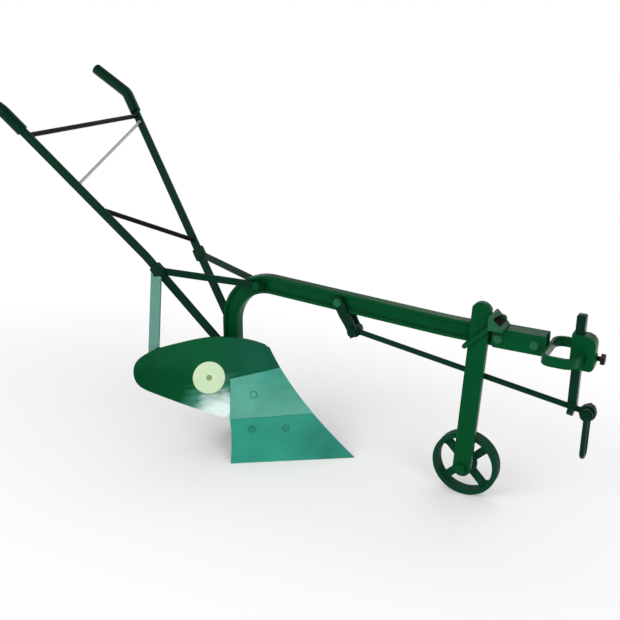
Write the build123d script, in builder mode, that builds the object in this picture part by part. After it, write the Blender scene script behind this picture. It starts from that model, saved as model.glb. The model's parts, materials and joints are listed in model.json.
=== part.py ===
"""Ox plough: a light animal-drawn mouldboard plough with a gauge wheel and a hake.

Millimetres, Z up. X points forward along the beam and Y to the land side.
The pieces are laid out round the wheel and moved to the part's own origin,
the middle of its footprint on the ground, when they are written.
"""

import os
from math import cos, radians, sin, sqrt, tan

from build123d import *

os.makedirs("parts", exist_ok=True)

# Clearances
seat_gap = 0.05
sheet_gap = 0.2
sliding_gap = 0.3
pivot_gap = 0.08
loose_gap = 0.8

# Beam: an I-section bar bent into a gooseneck
beam_depth = 48
beam_width = 26
beam_flange = 8
beam_web = 8
beam_root_radius = 3
neck_x = -678
neck_foot_z = 130
arch_centre_z = 335
arch_radius = 123
beam_fall_deg = 3
beam_level_x = -60
beam_level_radius = 1400
beam_front_x = 165

# Fasteners
frame_bolt_radius = 6
frame_bolt_across = 19
frame_bolt_head = 8
frame_nut = 10
bolt_end = 4

# Ground-working sheet: share, shin plate and mouldboard share one warped face
sheet_thick = 8
land_face_y = 27
share_point_x = -315
shin_slope = 1.431
shin_curl = 0.001657
share_turn_deg = 34.5
wing_turn_deg = 47
turn_start_z = 60
turn_end_z = 280
joint_front_z = 100
joint_rear_x = -625
joint_rear_z = 95
share_wing_x = -588
shin_plate_rear_x = -642
shin_plate_rear_z = 198
shin_plate_front_x = -550
shin_plate_front_z = 213
tail_x = -828
tail_z = 244
wing_top_x = -706
wing_top_z = 307.5
wing_front_run = 121
wing_front_drop = 40
wing_rear_run = 64
plate_gap = 0.4
face_reach = 500

# Frog: the forging that carries the sheet, the landside and the handles
frog_cheek_thick = 9
frog_slab_thick = 10
frog_foot_z = 16
frog_top_z = 240
frog_front_ahead = 60
frog_foot_ahead = 96
frog_rear_ahead = 32
neck_bolt_behind = 6
neck_bolt_low_z = 158
neck_bolt_pitch = 66

# Landside
landside_thick = 10
landside_height = 95
landside_rear_x = -690
landside_bolt_z = 50
landside_bolt_front_x = -480
landside_bolt_pitch = 140

# Handles: flat bars with tube grips
handle_foot_ahead = 47
handle_foot_z = 200
handle_top_x = -1130
handle_top_z = 833
handle_spread = 396
handle_width = 24
handle_thick = 10
handle_edge_radius = 2.5
handle_bend_radius = 40
handle_foot_below = 36
handle_foot_above = 52
right_flare_from = 400
right_flare = 0.11
handle_bolt_pitch = 30
handle_bolt_up = 11
grip_radius = 15.5
grip_wall = 2.2
grip_start = 8
grip_overlap = 30
grip_bend = 72
grip_bend_radius = 50
grip_end_back = 119
grip_end_out = 9
grip_end_up = 62

# Bracing between the handles and the beam
brace_radius = 6.5
tie_radius = 4
top_brace_drop = 6
mid_brace_right = 560
mid_brace_left = 392
tie_left = 780
tie_right = 636
knuckle_at = 350
knuckle_length = 32
knuckle_wall = 4
stay_height = 18
stay_thick = 6
stay_bolt_x = -588
stay_front_run = 20
stay_bend_run = 26
stay_bend_radius = 30
board_stay_width = 32
board_stay_thick = 6
board_stay_z = 232
board_stay_x = -791
board_stay_back = 10

# Gauge wheel, its standard and the diagonal clamp
axle_x = -3
axle_radius = 8
wheel_radius = 83
wheel_mid_y = 7
rim_width = 34
rim_thick = 13
hub_radius = 21
hub_length = 36
spoke_count = 4
spoke_width = 19
spoke_thick = 12
window_radius = 7
axle_washer = 1.6
axle_washer_radius = 15
standard_lean_deg = 3
standard_width = 45
standard_thick = 16
standard_top_z = 514
clamp_radius = 6
clamp_bend_radius = 8
saddle_rise = 20
saddle_lip = 5
saddle_overhang = 11

# Beam head and the hake that steers the draught line
cheek_thick = 8
cheek_rear_x = 44
cheek_front_gap = 3
head_bolt_rear_x = 60
head_bolt_pitch = 84
bow_front_x = 256
bow_half_width = 72
bow_arc_radius = 150
bow_corner_radius = 26
bow_thick = 8
bow_height = 24
bow_mid_z = 420
hake_bar_size = 20
hake_bar_gap = 0.8
hake_top_z = 516
clip_wall = 5
clip_front_wall = 20
clip_below = 30
clip_above = 52
set_bolt_radius = 6
set_bolt_reach = 30
set_bolt_head = 10
set_bolt_across = 18

# Draught rod, its hanger under the beam and the hitch clevis
hanger_bolt_x = -352
hanger_pin_x = -312
hanger_pin_z = 375
hanger_pin_radius = 7
strap_width = 28
strap_thick = 6
strap_bend_radius = 12
rod_radius = 7
rod_rear_eye_radius = 17
rod_rear_eye_thick = 15
clevis_pin_x = 273
clevis_pin_z = 287
clevis_pin_radius = 7
rod_front_eye_radius = 19
rod_front_eye_thick = 16
hake_eye_radius = 20
hake_eye_slack = 3.5
hake_eye_thick = 14
clevis_bar_radius = 6
clevis_gap = 17.6
clevis_length = 116
clevis_eye_radius = 15
clevis_eye_thick = 13
cotter_radius = 2

# Values worked out from the sizes above
half_depth = beam_depth / 2
half_width = beam_width / 2
neck_bolt_x = neck_x - neck_bolt_behind
handle_foot_x = neck_x + handle_foot_ahead
arch_end = (
    neck_x + arch_radius + arch_radius * sin(radians(beam_fall_deg)),
    arch_centre_z + arch_radius * cos(radians(beam_fall_deg)),
)
beam_level_z = arch_end[1] - (beam_level_x - arch_end[0]) * tan(radians(beam_fall_deg))


def beam_axis_z(x):
    """Height of the beam's middle line at x, ahead of the arch or on it."""
    if x >= beam_level_x:
        return beam_level_z
    if x >= arch_end[0]:
        return arch_end[1] - (x - arch_end[0]) * tan(radians(beam_fall_deg))
    return arch_centre_z + sqrt(arch_radius**2 - (x - neck_x - arch_radius) ** 2)


def bent_wire(points, radius):
    """Straight runs joined by tangent arcs of one radius."""
    with BuildLine() as made:
        here = Vector(*points[0])
        for before, corner, after in zip(points, points[1:], points[2:]):
            corner = Vector(*corner)
            back = (Vector(*before) - corner).normalized()
            ahead = (Vector(*after) - corner).normalized()
            half = radians(back.get_angle(ahead)) / 2
            reach = radius / tan(half)
            middle = (back + ahead).normalized()
            crown = corner + middle * (radius / sin(half) - radius)
            Line(here, corner + back * reach)
            ThreePointArc(corner + back * reach, crown, corner + ahead * reach)
            here = corner + ahead * reach
        Line(here, Vector(*points[-1]))
    return made.wires()[0]


def bolt(seat, tip, nut_from=None, radius=frame_bolt_radius, across=frame_bolt_across):
    """A hexagon bolt from the seat of its head to its tip, with its nut."""
    run = Vector(*tip) - Vector(*seat)
    plane = Plane(origin=seat, z_dir=run)
    with BuildPart() as made:
        with BuildSketch(plane):
            Circle(radius)
        extrude(amount=run.length)
        with BuildSketch(plane):
            RegularPolygon(across / 2, 6, major_radius=False)
        extrude(amount=-frame_bolt_head)
        if nut_from is not None:
            with BuildSketch(plane.offset(nut_from)):
                RegularPolygon(across / 2, 6, major_radius=False)
                Circle(radius + seat_gap, mode=Mode.SUBTRACT)
            extrude(amount=frame_nut)
    return made.part


def cross_bolt(x, z, half_span):
    """A frame bolt along Y, its head on the right and its nut on the left."""
    tip = half_span + frame_nut + bolt_end
    return bolt((x, -half_span, z), (x, tip, z), nut_from=2 * half_span)


def round_rod(start, end, radius):
    """A round bar between two points."""
    run = Vector(*end) - Vector(*start)
    return Solid.make_cylinder(radius, run.length, Plane(origin=start, z_dir=run))


# The shape of the working face: level lines that turn outwards as they rise
def shin_x(z):
    return share_point_x - shin_slope * z + shin_curl * z * z


def face_turn(z):
    rise = (z - turn_start_z) / (turn_end_z - turn_start_z)
    rise = min(max(rise, 0), 1)
    eased = rise * rise * (3 - 2 * rise)
    return radians(share_turn_deg + (wing_turn_deg - share_turn_deg) * eased)


def face_point(x, z, depth=0):
    """The point at x and z on the working face, or that far behind it."""
    turn = face_turn(z)
    run = (shin_x(z) - x - depth * sin(turn)) / cos(turn)
    return (x, land_face_y - run * sin(turn) + depth * cos(turn), z)


def face_front_x(z, y, depth):
    """Where the face, or the level that far behind it, crosses y at height z."""
    turn = face_turn(z)
    run = (land_face_y - y + depth * cos(turn)) / sin(turn)
    return shin_x(z) - run * cos(turn) - depth * sin(turn)


def face_slab(front_depth, back_depth):
    """A slab of the warped sheet between two depths behind the working face."""
    ahead, astern = 60, 480
    with BuildPart() as made:
        for level in range(-20, 341, 60):
            turn = face_turn(level)
            along = Vector(-cos(turn), -sin(turn), 0)
            behind = Vector(-sin(turn), cos(turn), 0)
            root = Vector(shin_x(level), land_face_y, 0)
            corners = [
                root + along * run + behind * depth
                for run, depth in (
                    (-ahead, front_depth),
                    (astern, front_depth),
                    (astern, back_depth),
                    (-ahead, back_depth),
                )
            ]
            with BuildSketch(Plane.XY.offset(level)):
                Polygon(*[(c.X, c.Y) for c in corners], align=None)
        loft()
    return made.part


# Beam
neck_bolts_z = [neck_bolt_low_z, neck_bolt_low_z + neck_bolt_pitch]
head_bolts_x = [head_bolt_rear_x, head_bolt_rear_x + head_bolt_pitch]
stay_bolt_z = beam_axis_z(stay_bolt_x)
hanger_bolt_z = beam_axis_z(hanger_bolt_x)
beam_holes = (
    [(neck_bolt_x, z) for z in neck_bolts_z]
    + [(x, beam_level_z) for x in head_bolts_x]
    + [(stay_bolt_x, stay_bolt_z), (hanger_bolt_x, hanger_bolt_z)]
)

with BuildPart() as beam:
    with BuildLine(Plane.XZ) as beam_line:
        Line((neck_x, neck_foot_z), (neck_x, arch_centre_z))
        CenterArc(
            (neck_x + arch_radius, arch_centre_z),
            arch_radius,
            180,
            -(90 + beam_fall_deg),
        )
        FilletPolyline(
            arch_end,
            (beam_level_x, beam_level_z),
            (beam_front_x, beam_level_z),
            radius=beam_level_radius,
        )
    with BuildSketch(Plane(origin=(neck_x, 0, neck_foot_z))):
        Rectangle(beam_depth, beam_width)
        with GridLocations(1, beam_width, 1, 2):
            RectangleRounded(
                beam_depth - 2 * beam_flange,
                beam_width - beam_web,
                beam_root_radius,
                mode=Mode.SUBTRACT,
            )
    sweep(path=beam_line.wires()[0])
    with BuildSketch(Plane.XZ):
        with Locations(*beam_holes):
            Circle(frame_bolt_radius + seat_gap)
    extrude(amount=beam_width, both=True, mode=Mode.SUBTRACT)

# Working sheet
sheet = face_slab(0, sheet_thick)
joint_rise = (joint_front_z - joint_rear_z) / (shin_x(joint_front_z) - joint_rear_x)
face_lead_x = share_point_x + 40
joint_lead_z = joint_front_z + joint_rise * (face_lead_x - shin_x(joint_front_z))
face_plane = Plane.XZ.offset(-land_face_y)

with BuildPart() as share:
    add(sheet)
    with BuildSketch(face_plane):
        Polygon(
            (face_lead_x, 0),
            (face_lead_x, joint_lead_z),
            (joint_rear_x, joint_rear_z),
            (share_wing_x, 0),
            align=None,
        )
    extrude(amount=face_reach, mode=Mode.INTERSECT)

plate_rise = (shin_plate_front_z - shin_plate_rear_z) / (
    shin_plate_front_x - shin_plate_rear_x
)
plate_lead_z = shin_plate_front_z + plate_rise * (face_lead_x - shin_plate_front_x)

with BuildPart() as shin_plate:
    add(sheet)
    with BuildSketch(face_plane):
        Polygon(
            (face_lead_x, joint_lead_z + plate_gap),
            (face_lead_x, plate_lead_z),
            (shin_plate_rear_x, shin_plate_rear_z),
            (joint_rear_x, joint_rear_z + plate_gap),
            align=None,
        )
    extrude(amount=face_reach, mode=Mode.INTERSECT)

with BuildPart() as mouldboard:
    add(sheet)
    with BuildSketch(face_plane):
        with BuildLine():
            lower_edge = Spline(
                (joint_rear_x - plate_gap, joint_rear_z),
                (0.45 * tail_x + 0.55 * joint_rear_x, joint_rear_z + 39),
                (tail_x + 40, tail_z - 67),
                (tail_x + 13, tail_z - 43),
                (tail_x, tail_z),
                (tail_x + 4, tail_z + 27),
                (tail_x + 35, tail_z + 50),
                (wing_top_x - wing_rear_run, wing_top_z - 8),
                (wing_top_x, wing_top_z),
                (wing_top_x + 0.6 * wing_front_run, wing_top_z - 0.37 * wing_front_drop),
                (wing_top_x + wing_front_run, wing_top_z - wing_front_drop),
            )
            Polyline(
                lower_edge @ 1,
                (face_lead_x, plate_lead_z + plate_gap),
                (shin_plate_rear_x - plate_gap, shin_plate_rear_z + plate_gap),
                lower_edge @ 0,
            )
        make_face()
    extrude(amount=face_reach, mode=Mode.INTERSECT)

# Frog: a slab behind the sheet with two cheeks that take the neck between them
frog_depth = sheet_thick + sheet_gap
slab_middle = frog_depth + frog_slab_thick / 2
frog_slab = face_slab(frog_depth, frog_depth + frog_slab_thick)
frog_rear_x = neck_x - half_depth - 4
cheek_outer_y = half_width + frog_cheek_thick
handle_run = Vector(handle_top_x - handle_foot_x, 0, handle_top_z - handle_foot_z)
handle_up = handle_run.normalized()


def along_handle(distance):
    """X and Z that far up the handles from the middle of their feet."""
    return (
        handle_foot_x + handle_up.X * distance,
        handle_foot_z + handle_up.Z * distance,
    )


handle_bolts = [
    along_handle(handle_bolt_up + side * handle_bolt_pitch / 2) for side in (-1, 1)
]
landside_bolts = [
    (landside_bolt_front_x, landside_bolt_z),
    (landside_bolt_front_x - landside_bolt_pitch, landside_bolt_z),
]
cheek_holes = [(neck_bolt_x, z) for z in neck_bolts_z] + handle_bolts
slab_top_z = 0.85 * frog_top_z


def cheek_outline(y):
    """Side outline of a frog cheek whose front edge lies inside the slab."""
    levels = [frog_foot_z + 4, 0.4 * slab_top_z, 0.7 * slab_top_z, slab_top_z - 4]
    front = [(face_front_x(z, y, slab_middle), z) for z in levels]
    rear = [
        (handle_foot_x + 16, frog_top_z - 4),
        (handle_foot_x - 20, frog_top_z),
        (frog_rear_x, frog_top_z),
        (frog_rear_x, neck_foot_z - 20),
        (landside_rear_x + 30, frog_foot_z + 4),
    ]
    return front + rear


with BuildPart() as frog:
    add(frog_slab)
    with BuildSketch(Plane.XZ.offset(-cheek_outer_y)):
        Polygon(
            (face_lead_x, frog_foot_z),
            (shin_plate_front_x + frog_front_ahead, slab_top_z),
            (joint_rear_x + frog_rear_ahead, slab_top_z),
            (joint_rear_x + frog_foot_ahead, frog_foot_z),
            align=None,
        )
    extrude(amount=face_reach, mode=Mode.INTERSECT)
    with BuildSketch(Plane.XZ.offset(-cheek_outer_y)):
        Polygon(*cheek_outline(half_width + frog_cheek_thick / 2), align=None)
        with Locations(*cheek_holes, *landside_bolts):
            Circle(frame_bolt_radius + seat_gap, mode=Mode.SUBTRACT)
    extrude(amount=frog_cheek_thick)
    with BuildSketch(Plane.XZ.offset(half_width)):
        Polygon(*cheek_outline(-half_width - frog_cheek_thick / 2), align=None)
        with Locations(*cheek_holes):
            Circle(frame_bolt_radius + seat_gap, mode=Mode.SUBTRACT)
    extrude(amount=frog_cheek_thick)
    add(face_slab(-40, frog_depth), mode=Mode.SUBTRACT)

# Landside: the plate that runs against the furrow wall
landside_depth = sheet_thick + 5 * sheet_gap
landside_front = [
    (face_front_x(z, cheek_outer_y, landside_depth), z)
    for z in (0, landside_height / 2, landside_height)
]
with BuildPart() as landside:
    with BuildSketch(Plane.XZ.offset(-cheek_outer_y)):
        Polygon(
            *landside_front,
            (landside_rear_x + 40, landside_height),
            (landside_rear_x, landside_height - 30),
            (landside_rear_x, 0),
            align=None,
        )
    extrude(amount=-landside_thick)
    with Locations(
        *[
            Location((x, cheek_outer_y + landside_thick, z), (-90, 0, 0))
            for x, z in landside_bolts
        ]
    ):
        CounterSinkHole(
            frame_bolt_radius + seat_gap,
            frame_bolt_radius + 5,
            depth=landside_thick,
        )

# Handles, grips and the knuckles that join the stays to them
handle_side = Vector(handle_up.Z, 0, -handle_up.X)
handle_length = handle_run.length
handle_foot_y = cheek_outer_y + handle_thick / 2
handle_top_y = handle_spread / 2
handle_slope = (handle_top_y - handle_foot_y) / (handle_length - handle_foot_above)


def handle_point(distance, side):
    """Point on the middle of a handle that far up from its foot."""
    x, z = along_handle(distance)
    out = handle_foot_y + max(distance - handle_foot_above, 0) * handle_slope
    if side < 0:
        out += max(distance - right_flare_from, 0) * right_flare
    return (x, side * out, z)


def handle_plane(distance, side):
    """Plane square to a handle, its first axis across the bar's broad face."""
    run = Vector(*handle_point(distance + 1, side)) - Vector(*handle_point(distance, side))
    return Plane(
        origin=handle_point(distance, side),
        x_dir=(handle_side.X, 0, handle_side.Z),
        z_dir=run,
    )


def make_handle(side):
    bends = [handle_foot_above]
    if side < 0:
        bends.append(right_flare_from)
    stations = [-handle_foot_below, *bends, handle_length + grip_start + grip_overlap]
    path = bent_wire([handle_point(station, side) for station in stations], handle_bend_radius)
    with BuildPart() as made:
        with BuildSketch(handle_plane(-handle_foot_below, side)):
            RectangleRounded(handle_width, handle_thick, handle_edge_radius)
        sweep(path=path)
        with BuildSketch(Plane.XZ):
            with Locations(*handle_bolts):
                Circle(frame_bolt_radius + seat_gap)
        extrude(amount=2 * handle_foot_y, both=True, mode=Mode.SUBTRACT)
    return made.part


def make_grip(side):
    corner = Vector(*handle_point(handle_length + grip_bend, side))
    end = corner + Vector(-grip_end_back, side * grip_end_out, grip_end_up)
    path = bent_wire(
        [
            handle_point(handle_length + grip_start, side),
            tuple(corner),
            tuple(end),
        ],
        grip_bend_radius,
    )
    with BuildPart() as made:
        with BuildSketch(handle_plane(handle_length + grip_start, side)):
            Circle(grip_radius)
            Circle(grip_radius - grip_wall, mode=Mode.SUBTRACT)
        sweep(path=path)
    return made.part


def make_knuckle(side, solid=False):
    wall = 2 * knuckle_wall
    grow = 2 * seat_gap
    with BuildPart() as made:
        with BuildSketch(handle_plane(knuckle_at, side)):
            if solid:
                Rectangle(handle_width + wall + grow, handle_thick + wall + grow)
            else:
                Rectangle(handle_width + wall, handle_thick + wall)
                RectangleRounded(
                    handle_width + grow,
                    handle_thick + grow,
                    handle_edge_radius + seat_gap,
                    mode=Mode.SUBTRACT,
                )
        extrude(amount=knuckle_length / 2, both=True)
    return made.part


handle_right = make_handle(-1)
handle_left = make_handle(1)
handles = {-1: handle_right, 1: handle_left}
grip_right = make_grip(-1)
grip_left = make_grip(1)
knuckle_pair = [make_knuckle(-1), make_knuckle(1)]
knuckle_blocks = {-1: make_knuckle(-1, True), 1: make_knuckle(1, True)}

with BuildPart() as knuckles:
    add(knuckle_pair)


def make_brace(right_at, left_at, radius):
    """A round brace welded between the handles' inner faces."""
    rod = round_rod(handle_point(right_at, -1), handle_point(left_at, 1), radius)
    with BuildPart() as made:
        add(rod)
        add([handle_right, handle_left], mode=Mode.SUBTRACT)
    return made.solids().sort_by(SortBy.VOLUME)[-1]


top_brace = make_brace(
    handle_length - top_brace_drop, handle_length - top_brace_drop, brace_radius
)
mid_brace = make_brace(mid_brace_right, mid_brace_left, brace_radius)
tie_rod = make_brace(tie_right, tie_left, tie_radius)


def make_stay(side):
    """A flat stay from the beam's flank back to the knuckle on a handle."""
    y = side * (half_width + stay_thick / 2)
    front_x = stay_bolt_x + stay_front_run
    bend_x = stay_bolt_x - stay_bend_run
    path = bent_wire(
        [(front_x, y, stay_bolt_z), (bend_x, y, stay_bolt_z), handle_point(knuckle_at, side)],
        stay_bend_radius,
    )
    with BuildPart() as made:
        with BuildSketch(
            Plane(origin=(front_x, y, stay_bolt_z), x_dir=(0, 0, 1), z_dir=(-1, 0, 0))
        ):
            Rectangle(stay_height, stay_thick)
        sweep(path=path)
        add(knuckle_blocks[side], mode=Mode.SUBTRACT)
        add(handles[side], mode=Mode.SUBTRACT)
        with BuildSketch(Plane.XZ):
            with Locations((stay_bolt_x, stay_bolt_z)):
                Circle(frame_bolt_radius + seat_gap)
        extrude(amount=beam_width, both=True, mode=Mode.SUBTRACT)
    return made.part


stay_right = make_stay(-1)
stay_left = make_stay(1)

board_stay_top = Vector(*handle_point(knuckle_at - 4, -1)) - Vector(board_stay_back, 0, 0)
board_stay_foot = Vector(*face_point(board_stay_x, board_stay_z))
with BuildPart() as board_stay:
    with BuildSketch(
        Plane(
            origin=board_stay_top,
            x_dir=(1, 0, 0),
            z_dir=board_stay_foot - board_stay_top,
        )
    ):
        Rectangle(board_stay_width, board_stay_thick)
    extrude(amount=(board_stay_foot - board_stay_top).length + 20)
    add([knuckle_blocks[-1], handle_right], mode=Mode.SUBTRACT)
    add(face_slab(-60, sheet_thick + sheet_gap), mode=Mode.SUBTRACT)

# Gauge wheel and standard
standard_inner_y = -half_width - sliding_gap
standard_outer_y = standard_inner_y - standard_thick
hub_right_y = standard_inner_y + axle_washer + sliding_gap
axle_z = wheel_radius
axle_axis = Axis((axle_x, 0, axle_z), (0, 1, 0))
hub_left_y = hub_right_y + hub_length
bore_radius = axle_radius + pivot_gap

with BuildPart() as wheel:
    with BuildSketch(Plane(origin=(axle_x, 0, axle_z), x_dir=(0, 1, 0), z_dir=(1, 0, 0))):
        with Locations((wheel_mid_y, wheel_radius - rim_thick / 2)):
            RectangleRounded(rim_width, rim_thick, rim_thick / 4)
        with Locations(((hub_right_y + hub_left_y) / 2, (bore_radius + hub_radius) / 2)):
            Rectangle(hub_length, hub_radius - bore_radius)
    revolve(axis=axle_axis)
    wheel_plane = Plane(origin=(axle_x, wheel_mid_y, axle_z), x_dir=(1, 0, 0), z_dir=(0, -1, 0))
    with BuildSketch(wheel_plane):
        Circle(wheel_radius - rim_thick + 2)
        Circle(hub_radius - 2, mode=Mode.SUBTRACT)
    extrude(amount=spoke_thick / 2, both=True)
    with BuildSketch(wheel_plane) as windows:
        Circle(wheel_radius - rim_thick)
        Circle(hub_radius + window_radius, mode=Mode.SUBTRACT)
        with PolarLocations(0, spoke_count, start_angle=45):
            Rectangle(
                wheel_radius,
                spoke_width,
                align=(Align.MIN, Align.CENTER),
                mode=Mode.SUBTRACT,
            )
        fillet(windows.vertices(), window_radius)
    extrude(amount=spoke_thick, both=True, mode=Mode.SUBTRACT)

# The standard leans forward from the axle, and slides along its own length
standard_lean = radians(standard_lean_deg)
standard_half = standard_width / 2
standard_rise = (standard_top_z - axle_z) / cos(standard_lean)
shoulder_rise = standard_rise - standard_width / 3


def standard_edge_x(z, side):
    """Where the standard's rear (-1) or front (1) edge is at height z."""
    return axle_x + (z - axle_z) * tan(standard_lean) + side * standard_half / cos(standard_lean)


with BuildPart() as standard:
    with BuildSketch(
        Plane(
            origin=(axle_x, standard_inner_y, axle_z),
            x_dir=(cos(standard_lean), 0, -sin(standard_lean)),
            z_dir=(0, -1, 0),
        )
    ):
        with BuildLine():
            Line((standard_half, 0), (standard_half, shoulder_rise))
            ThreePointArc(
                (standard_half, shoulder_rise), (0, standard_rise), (-standard_half, shoulder_rise)
            )
            Line((-standard_half, shoulder_rise), (-standard_half, 0))
            ThreePointArc((-standard_half, 0), (0, -standard_half), (standard_half, 0))
        make_face()
        Circle(axle_radius + seat_gap, mode=Mode.SUBTRACT)
    extrude(amount=standard_thick)

axle_bolt = bolt(
    (axle_x, standard_outer_y, axle_z),
    (axle_x, hub_left_y + axle_washer + 2 * sliding_gap + frame_nut + bolt_end, axle_z),
    nut_from=hub_left_y + axle_washer + 2 * sliding_gap - standard_outer_y,
    radius=axle_radius,
    across=frame_bolt_across + 5,
)

with BuildPart() as axle_washers:
    for y in (standard_inner_y, hub_left_y + sliding_gap):
        with BuildSketch(Plane(origin=(axle_x, y, axle_z), z_dir=(0, 1, 0))):
            Circle(axle_washer_radius)
            Circle(axle_radius + seat_gap, mode=Mode.SUBTRACT)
        extrude(amount=axle_washer)

# Diagonal clamp: a hook bolt under the beam and across the standard, drawn up on a saddle
clamp_stand_off = clamp_radius + sliding_gap
clamp_high_z = beam_level_z + half_depth + clamp_stand_off
clamp_low_z = beam_level_z - half_depth - clamp_stand_off - 1
clamp_aside = clamp_radius + 2 * sliding_gap
clamp_high = (standard_edge_x(clamp_high_z, 1) + clamp_aside, clamp_high_z)
clamp_low = (standard_edge_x(clamp_low_z - clamp_radius, -1) - clamp_aside, clamp_low_z)
clamp_bow_y = standard_outer_y - sliding_gap - clamp_radius
clamp_way = Vector(clamp_high[0] - clamp_low[0], 0, clamp_high[1] - clamp_low[1]).normalized()
clamp_corner = Vector(clamp_high[0], clamp_bow_y, clamp_high[1])
saddle_seat = clamp_corner + clamp_way * saddle_rise
clamp_tip = saddle_seat + clamp_way * (2 * frame_nut + 1.5 * bolt_end)
clamp_path = bent_wire(
    [
        (clamp_low[0], half_width, clamp_low[1]),
        (clamp_low[0], clamp_bow_y, clamp_low[1]),
        tuple(clamp_tip),
    ],
    clamp_bend_radius,
)
with BuildPart() as clamp_hook:
    with BuildSketch(
        Plane(origin=(clamp_low[0], half_width, clamp_low[1]), z_dir=(0, -1, 0))
    ):
        Circle(clamp_radius)
    sweep(path=clamp_path)

# The saddle's sloping face is square to the hook bolt
saddle_foot_z = beam_level_z + half_depth + seat_gap
saddle_rear_x = standard_edge_x(saddle_foot_z + 2 * saddle_rise, 1) + sliding_gap
saddle_fall = clamp_way.X / clamp_way.Z
saddle_front_x = saddle_seat.X + (saddle_seat.Z - saddle_foot_z - saddle_lip) / saddle_fall
saddle_top_z = saddle_seat.Z + (saddle_seat.X - saddle_rear_x - saddle_lip) * saddle_fall
with BuildPart() as clamp_plate:
    with BuildSketch(Plane.XZ.offset(-half_width)):
        Polygon(
            (saddle_rear_x, saddle_foot_z),
            (saddle_front_x, saddle_foot_z),
            (saddle_front_x, saddle_foot_z + saddle_lip),
            (saddle_rear_x + saddle_lip, saddle_top_z),
            (saddle_rear_x, saddle_top_z),
            align=None,
        )
    extrude(amount=half_width - clamp_bow_y + saddle_overhang)
    with BuildSketch(Plane(origin=saddle_seat, z_dir=clamp_way)):
        Circle(clamp_radius + seat_gap)
    extrude(amount=beam_depth, both=True, mode=Mode.SUBTRACT)

with BuildPart() as clamp_nuts:
    for lift in (0, frame_nut + seat_gap):
        with BuildSketch(Plane(origin=saddle_seat + clamp_way * lift, z_dir=clamp_way)):
            RegularPolygon(frame_bolt_across / 2, 6, major_radius=False)
            Circle(clamp_radius + seat_gap, mode=Mode.SUBTRACT)
        extrude(amount=frame_nut)

# Beam head cheeks
cheek_front_x = beam_front_x + cheek_front_gap
with BuildPart() as head_cheeks:
    for y, way in ((half_width, -1), (-half_width, 1)):
        with BuildSketch(Plane.XZ.offset(-y)) as cheek_sketch:
            with Locations(((cheek_rear_x + cheek_front_x) / 2, beam_level_z)):
                Rectangle(cheek_front_x - cheek_rear_x, beam_depth)
            fillet(cheek_sketch.vertices().group_by(Axis.X)[0], 8)
            with Locations(*[(x, beam_level_z) for x in head_bolts_x]):
                Circle(frame_bolt_radius + seat_gap, mode=Mode.SUBTRACT)
        extrude(amount=way * cheek_thick)

# Hake bow: a flat-sided hoop whose front is an arc for setting the line sideways
bow_rear_x = cheek_front_x
bow_centre_x = bow_front_x - bow_arc_radius
bow_shoulder_x = bow_centre_x + sqrt(bow_arc_radius**2 - bow_half_width**2)
bow_foot_z = bow_mid_z - bow_height / 2
with BuildPart() as hake_bow:
    with BuildSketch(Plane.XY.offset(bow_foot_z)) as bow_plan:
        with BuildLine():
            Polyline(
                (bow_shoulder_x, -bow_half_width),
                (bow_rear_x, -bow_half_width),
                (bow_rear_x, bow_half_width),
                (bow_shoulder_x, bow_half_width),
            )
            ThreePointArc(
                (bow_shoulder_x, bow_half_width),
                (bow_front_x, 0),
                (bow_shoulder_x, -bow_half_width),
            )
        make_face()
        fillet(bow_plan.vertices(), bow_corner_radius)
        offset(amount=-bow_thick, mode=Mode.SUBTRACT)
    extrude(amount=bow_height)

# Hake clip, its set bolt and the hake bar
bow_inner_x = bow_front_x - bow_thick
bar_front_x = bow_inner_x - hake_bar_gap
bar_x = bar_front_x - hake_bar_size / 2
bar_slot = hake_bar_size + 2 * sliding_gap
clip_rear_x = bar_x - bar_slot / 2 - clip_wall
clip_front_x = bow_front_x + clip_front_wall
clip_width = bar_slot + 2 * clip_wall
clip_sag = bow_arc_radius - sqrt(bow_arc_radius**2 - (clip_width / 2) ** 2)
clip_window_rear = bow_inner_x - clip_sag - 2 * sliding_gap
clip_window_front = bow_front_x + sliding_gap
with BuildPart() as hake_clip:
    with BuildSketch(Plane.XY.offset(bow_mid_z - clip_below)) as clip_plan:
        with Locations(((clip_rear_x + clip_front_x) / 2, 0)):
            Rectangle(clip_front_x - clip_rear_x, clip_width)
        fillet(clip_plan.vertices(), clip_wall / 2)
        with Locations((bar_x, 0)):
            Rectangle(bar_slot, bar_slot, mode=Mode.SUBTRACT)
    extrude(amount=clip_below + clip_above)
    with BuildSketch(Plane.XZ):
        with Locations(((clip_window_rear + clip_window_front) / 2, bow_mid_z)):
            Rectangle(
                clip_window_front - clip_window_rear, bow_height + 2 * sliding_gap
            )
    extrude(amount=clip_width, both=True, mode=Mode.SUBTRACT)
    with BuildSketch(Plane(origin=(clip_front_x, 0, bow_mid_z), z_dir=(-1, 0, 0))):
        Circle(set_bolt_radius + seat_gap)
    extrude(amount=clip_front_wall, mode=Mode.SUBTRACT)

with BuildPart() as set_bolt:
    with BuildSketch(
        Plane(origin=(bow_front_x + sliding_gap, 0, bow_mid_z), z_dir=(1, 0, 0))
    ):
        Circle(set_bolt_radius)
    extrude(amount=set_bolt_reach)
    with BuildSketch(
        Plane(
            origin=(bow_front_x + sliding_gap + set_bolt_reach, 0, bow_mid_z),
            z_dir=(1, 0, 0),
        )
    ):
        Rectangle(set_bolt_across, set_bolt_across)
    extrude(amount=set_bolt_head)
    chamfer(set_bolt.faces().sort_by(Axis.X)[-1].edges(), 2)

# Draught rod line
rod_start = Vector(hanger_pin_x, 0, hanger_pin_z)
rod_end = Vector(clevis_pin_x, 0, clevis_pin_z)
rod_way = (rod_end - rod_start).normalized()
eye_z = hanger_pin_z + (bar_x - hanger_pin_x) * rod_way.Z / rod_way.X
eye_bore = rod_radius + hake_eye_slack

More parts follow.
